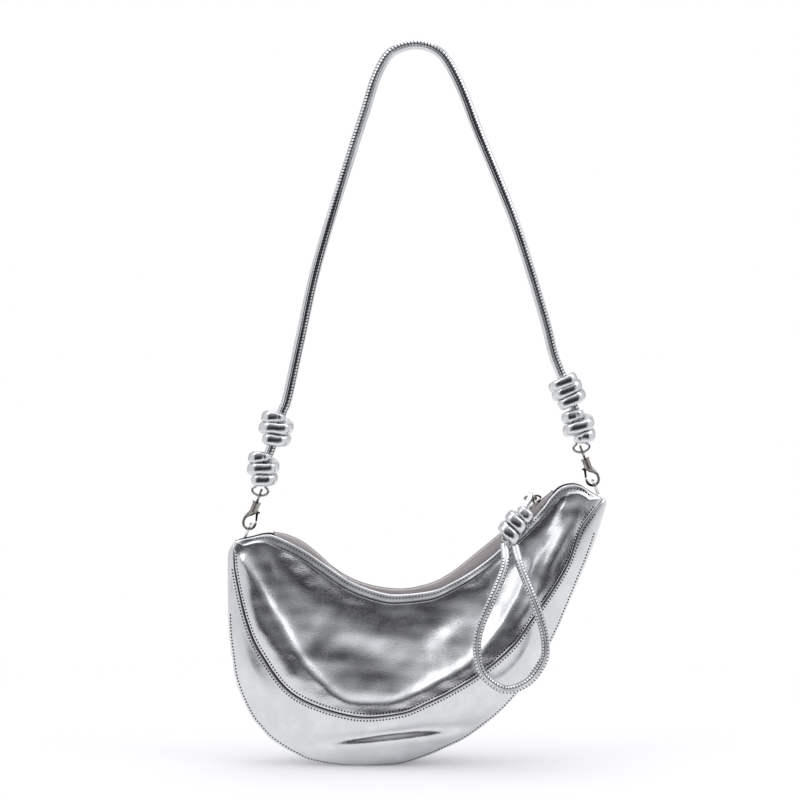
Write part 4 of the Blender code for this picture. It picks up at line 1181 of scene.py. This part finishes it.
@registered
class BAG_OT_strap(bpy.types.Operator):
    """The rolled strap with its whip stitches, the four wound knots and the two eye loops."""

    bl_idname = "bag.strap"
    bl_label = "Strap"

    def execute(self, context):
        path = in_front_view(through(STRAP, 700))
        up = (0, -1, 0)
        seam = np.interp(np.linspace(0, 1, len(path)), *zip(*STRAP_TWIST))
        rings = rolled_cord(path, up, STRAP_RADIUS, seam, [(0.62, 0.16, 0.11), (-0.62, 0.05, 0.10)])
        tube("strap_leather", rings, "cord", "strap", SILVER, "strap")
        stitches = laid_stitches(path, up, STRAP_RADIUS, seam, reach=0.52, pitch=2.35)
        piece("strap_stitches", *stitches, "thread", "strap", SILVER)
        for seed, (name, (top, bottom, radius, cord, turns, phase)) in enumerate(KNOTS.items(), 20):
            ends = in_front_view([top, bottom])
            wound_knot(f"{name}_leather", *ends, radius, cord + KNOT_SWELL, turns, phase, "strap", name, seed)
        for side in ("left", "right"):
            eye, knot = hook_eye(side), in_front_view(KNOTS[f"{side}_lower_knot"][1])
            rise = knot - eye
            # The loop's flattened bend rests on the eye's wire
            radius, strip, flat = 5.2, 2.0, 0.67
            centre = eye + unit(rise) * ((radius + strip / 2) * flat - 0.8)
            strip_loop(
                f"{side}_eye_loop_leather", centre, rise, np.cross((0, 1, 0), unit(rise)), radius,
                reach=np.linalg.norm(knot - centre) + 2.0, width=4.0, thickness=strip, body="strap",
                node=f"{side}_eye_loop", pinch=0.44, close=0.45, flat=flat,
            )
        return {"FINISHED"}


def hook_eye(side):
    """The middle of a hook's eye, up from its pivot along its lean."""
    (x, z), lean = HOOK_PIVOT[side], math.radians(HOOK_LEAN[side])
    return np.array([x + EYE_HEIGHT * math.sin(lean), 0, z + EYE_HEIGHT * math.cos(lean)])


@registered
class BAG_OT_hooks(bpy.types.Operator):
    """Swivel snap hooks: eye, body, gate, pin and spring, and the leather loops that hold them."""

    bl_idname = "bag.hooks"
    bl_label = "Hooks"

    def execute(self, context):
        for side in ("left", "right"):
            hook = f"{side}_hook"
            dressed(f"{side}_hook_eye", "strap", 0.08)
            dressed(f"{side}_hook_body", hook, 0.08)
            dressed(f"{side}_hook_gate", f"{side}_gate", 0.15)
            dressed(f"{side}_gate_pin", hook, 0.08)
            dressed(f"{side}_gate_spring", hook, 0.03)
            pivot, root = in_front_view(HOOK_PIVOT[side]), in_front_view(CORNER_ROOT[side])
            top = pivot + (CORNER_SHIFT[side], 0, 0)
            strip_loop(
                f"{side}_corner_loop_leather", top, root - pivot, (0, 1, 0), radius=3.9,
                reach=np.linalg.norm(root - top), width=2.0, thickness=1.0, body="bag",
                node=f"{side}_corner_loop", pinch=0.35, close=1.0,
            )
        return {"FINISHED"}


OPERATORS = ("stage", "leather", "seams", "lining", "zip", "slider", "pull", "strap", "hooks")


@registered
class BAG_PT_panel(bpy.types.Panel):
    """Lists the settings and the operators."""

    bl_label = "Shoulder bag"
    bl_idname = "BAG_PT_panel"
    bl_space_type = "VIEW_3D"
    bl_region_type = "UI"
    bl_category = "Bag"

    def draw(self, context):
        for name in BagSettings.__annotations__:
            self.layout.prop(context.scene.bag_settings, name)
        for name in OPERATORS:
            self.layout.operator(f"bag.{name}")


def register():
    for cls in CLASSES:
        bpy.utils.register_class(cls)
    bpy.types.Scene.bag_settings = bpy.props.PointerProperty(type=BagSettings)


def unregister():
    del bpy.types.Scene.bag_settings
    for cls in reversed(CLASSES):
        bpy.utils.unregister_class(cls)


def main():
    register()
    bpy.context.scene.view_settings.view_transform = "Standard"
    make_finishes(settings())
    for name in OPERATORS:
        getattr(bpy.ops.bag, name)()


if __name__ == "__main__":
    main()
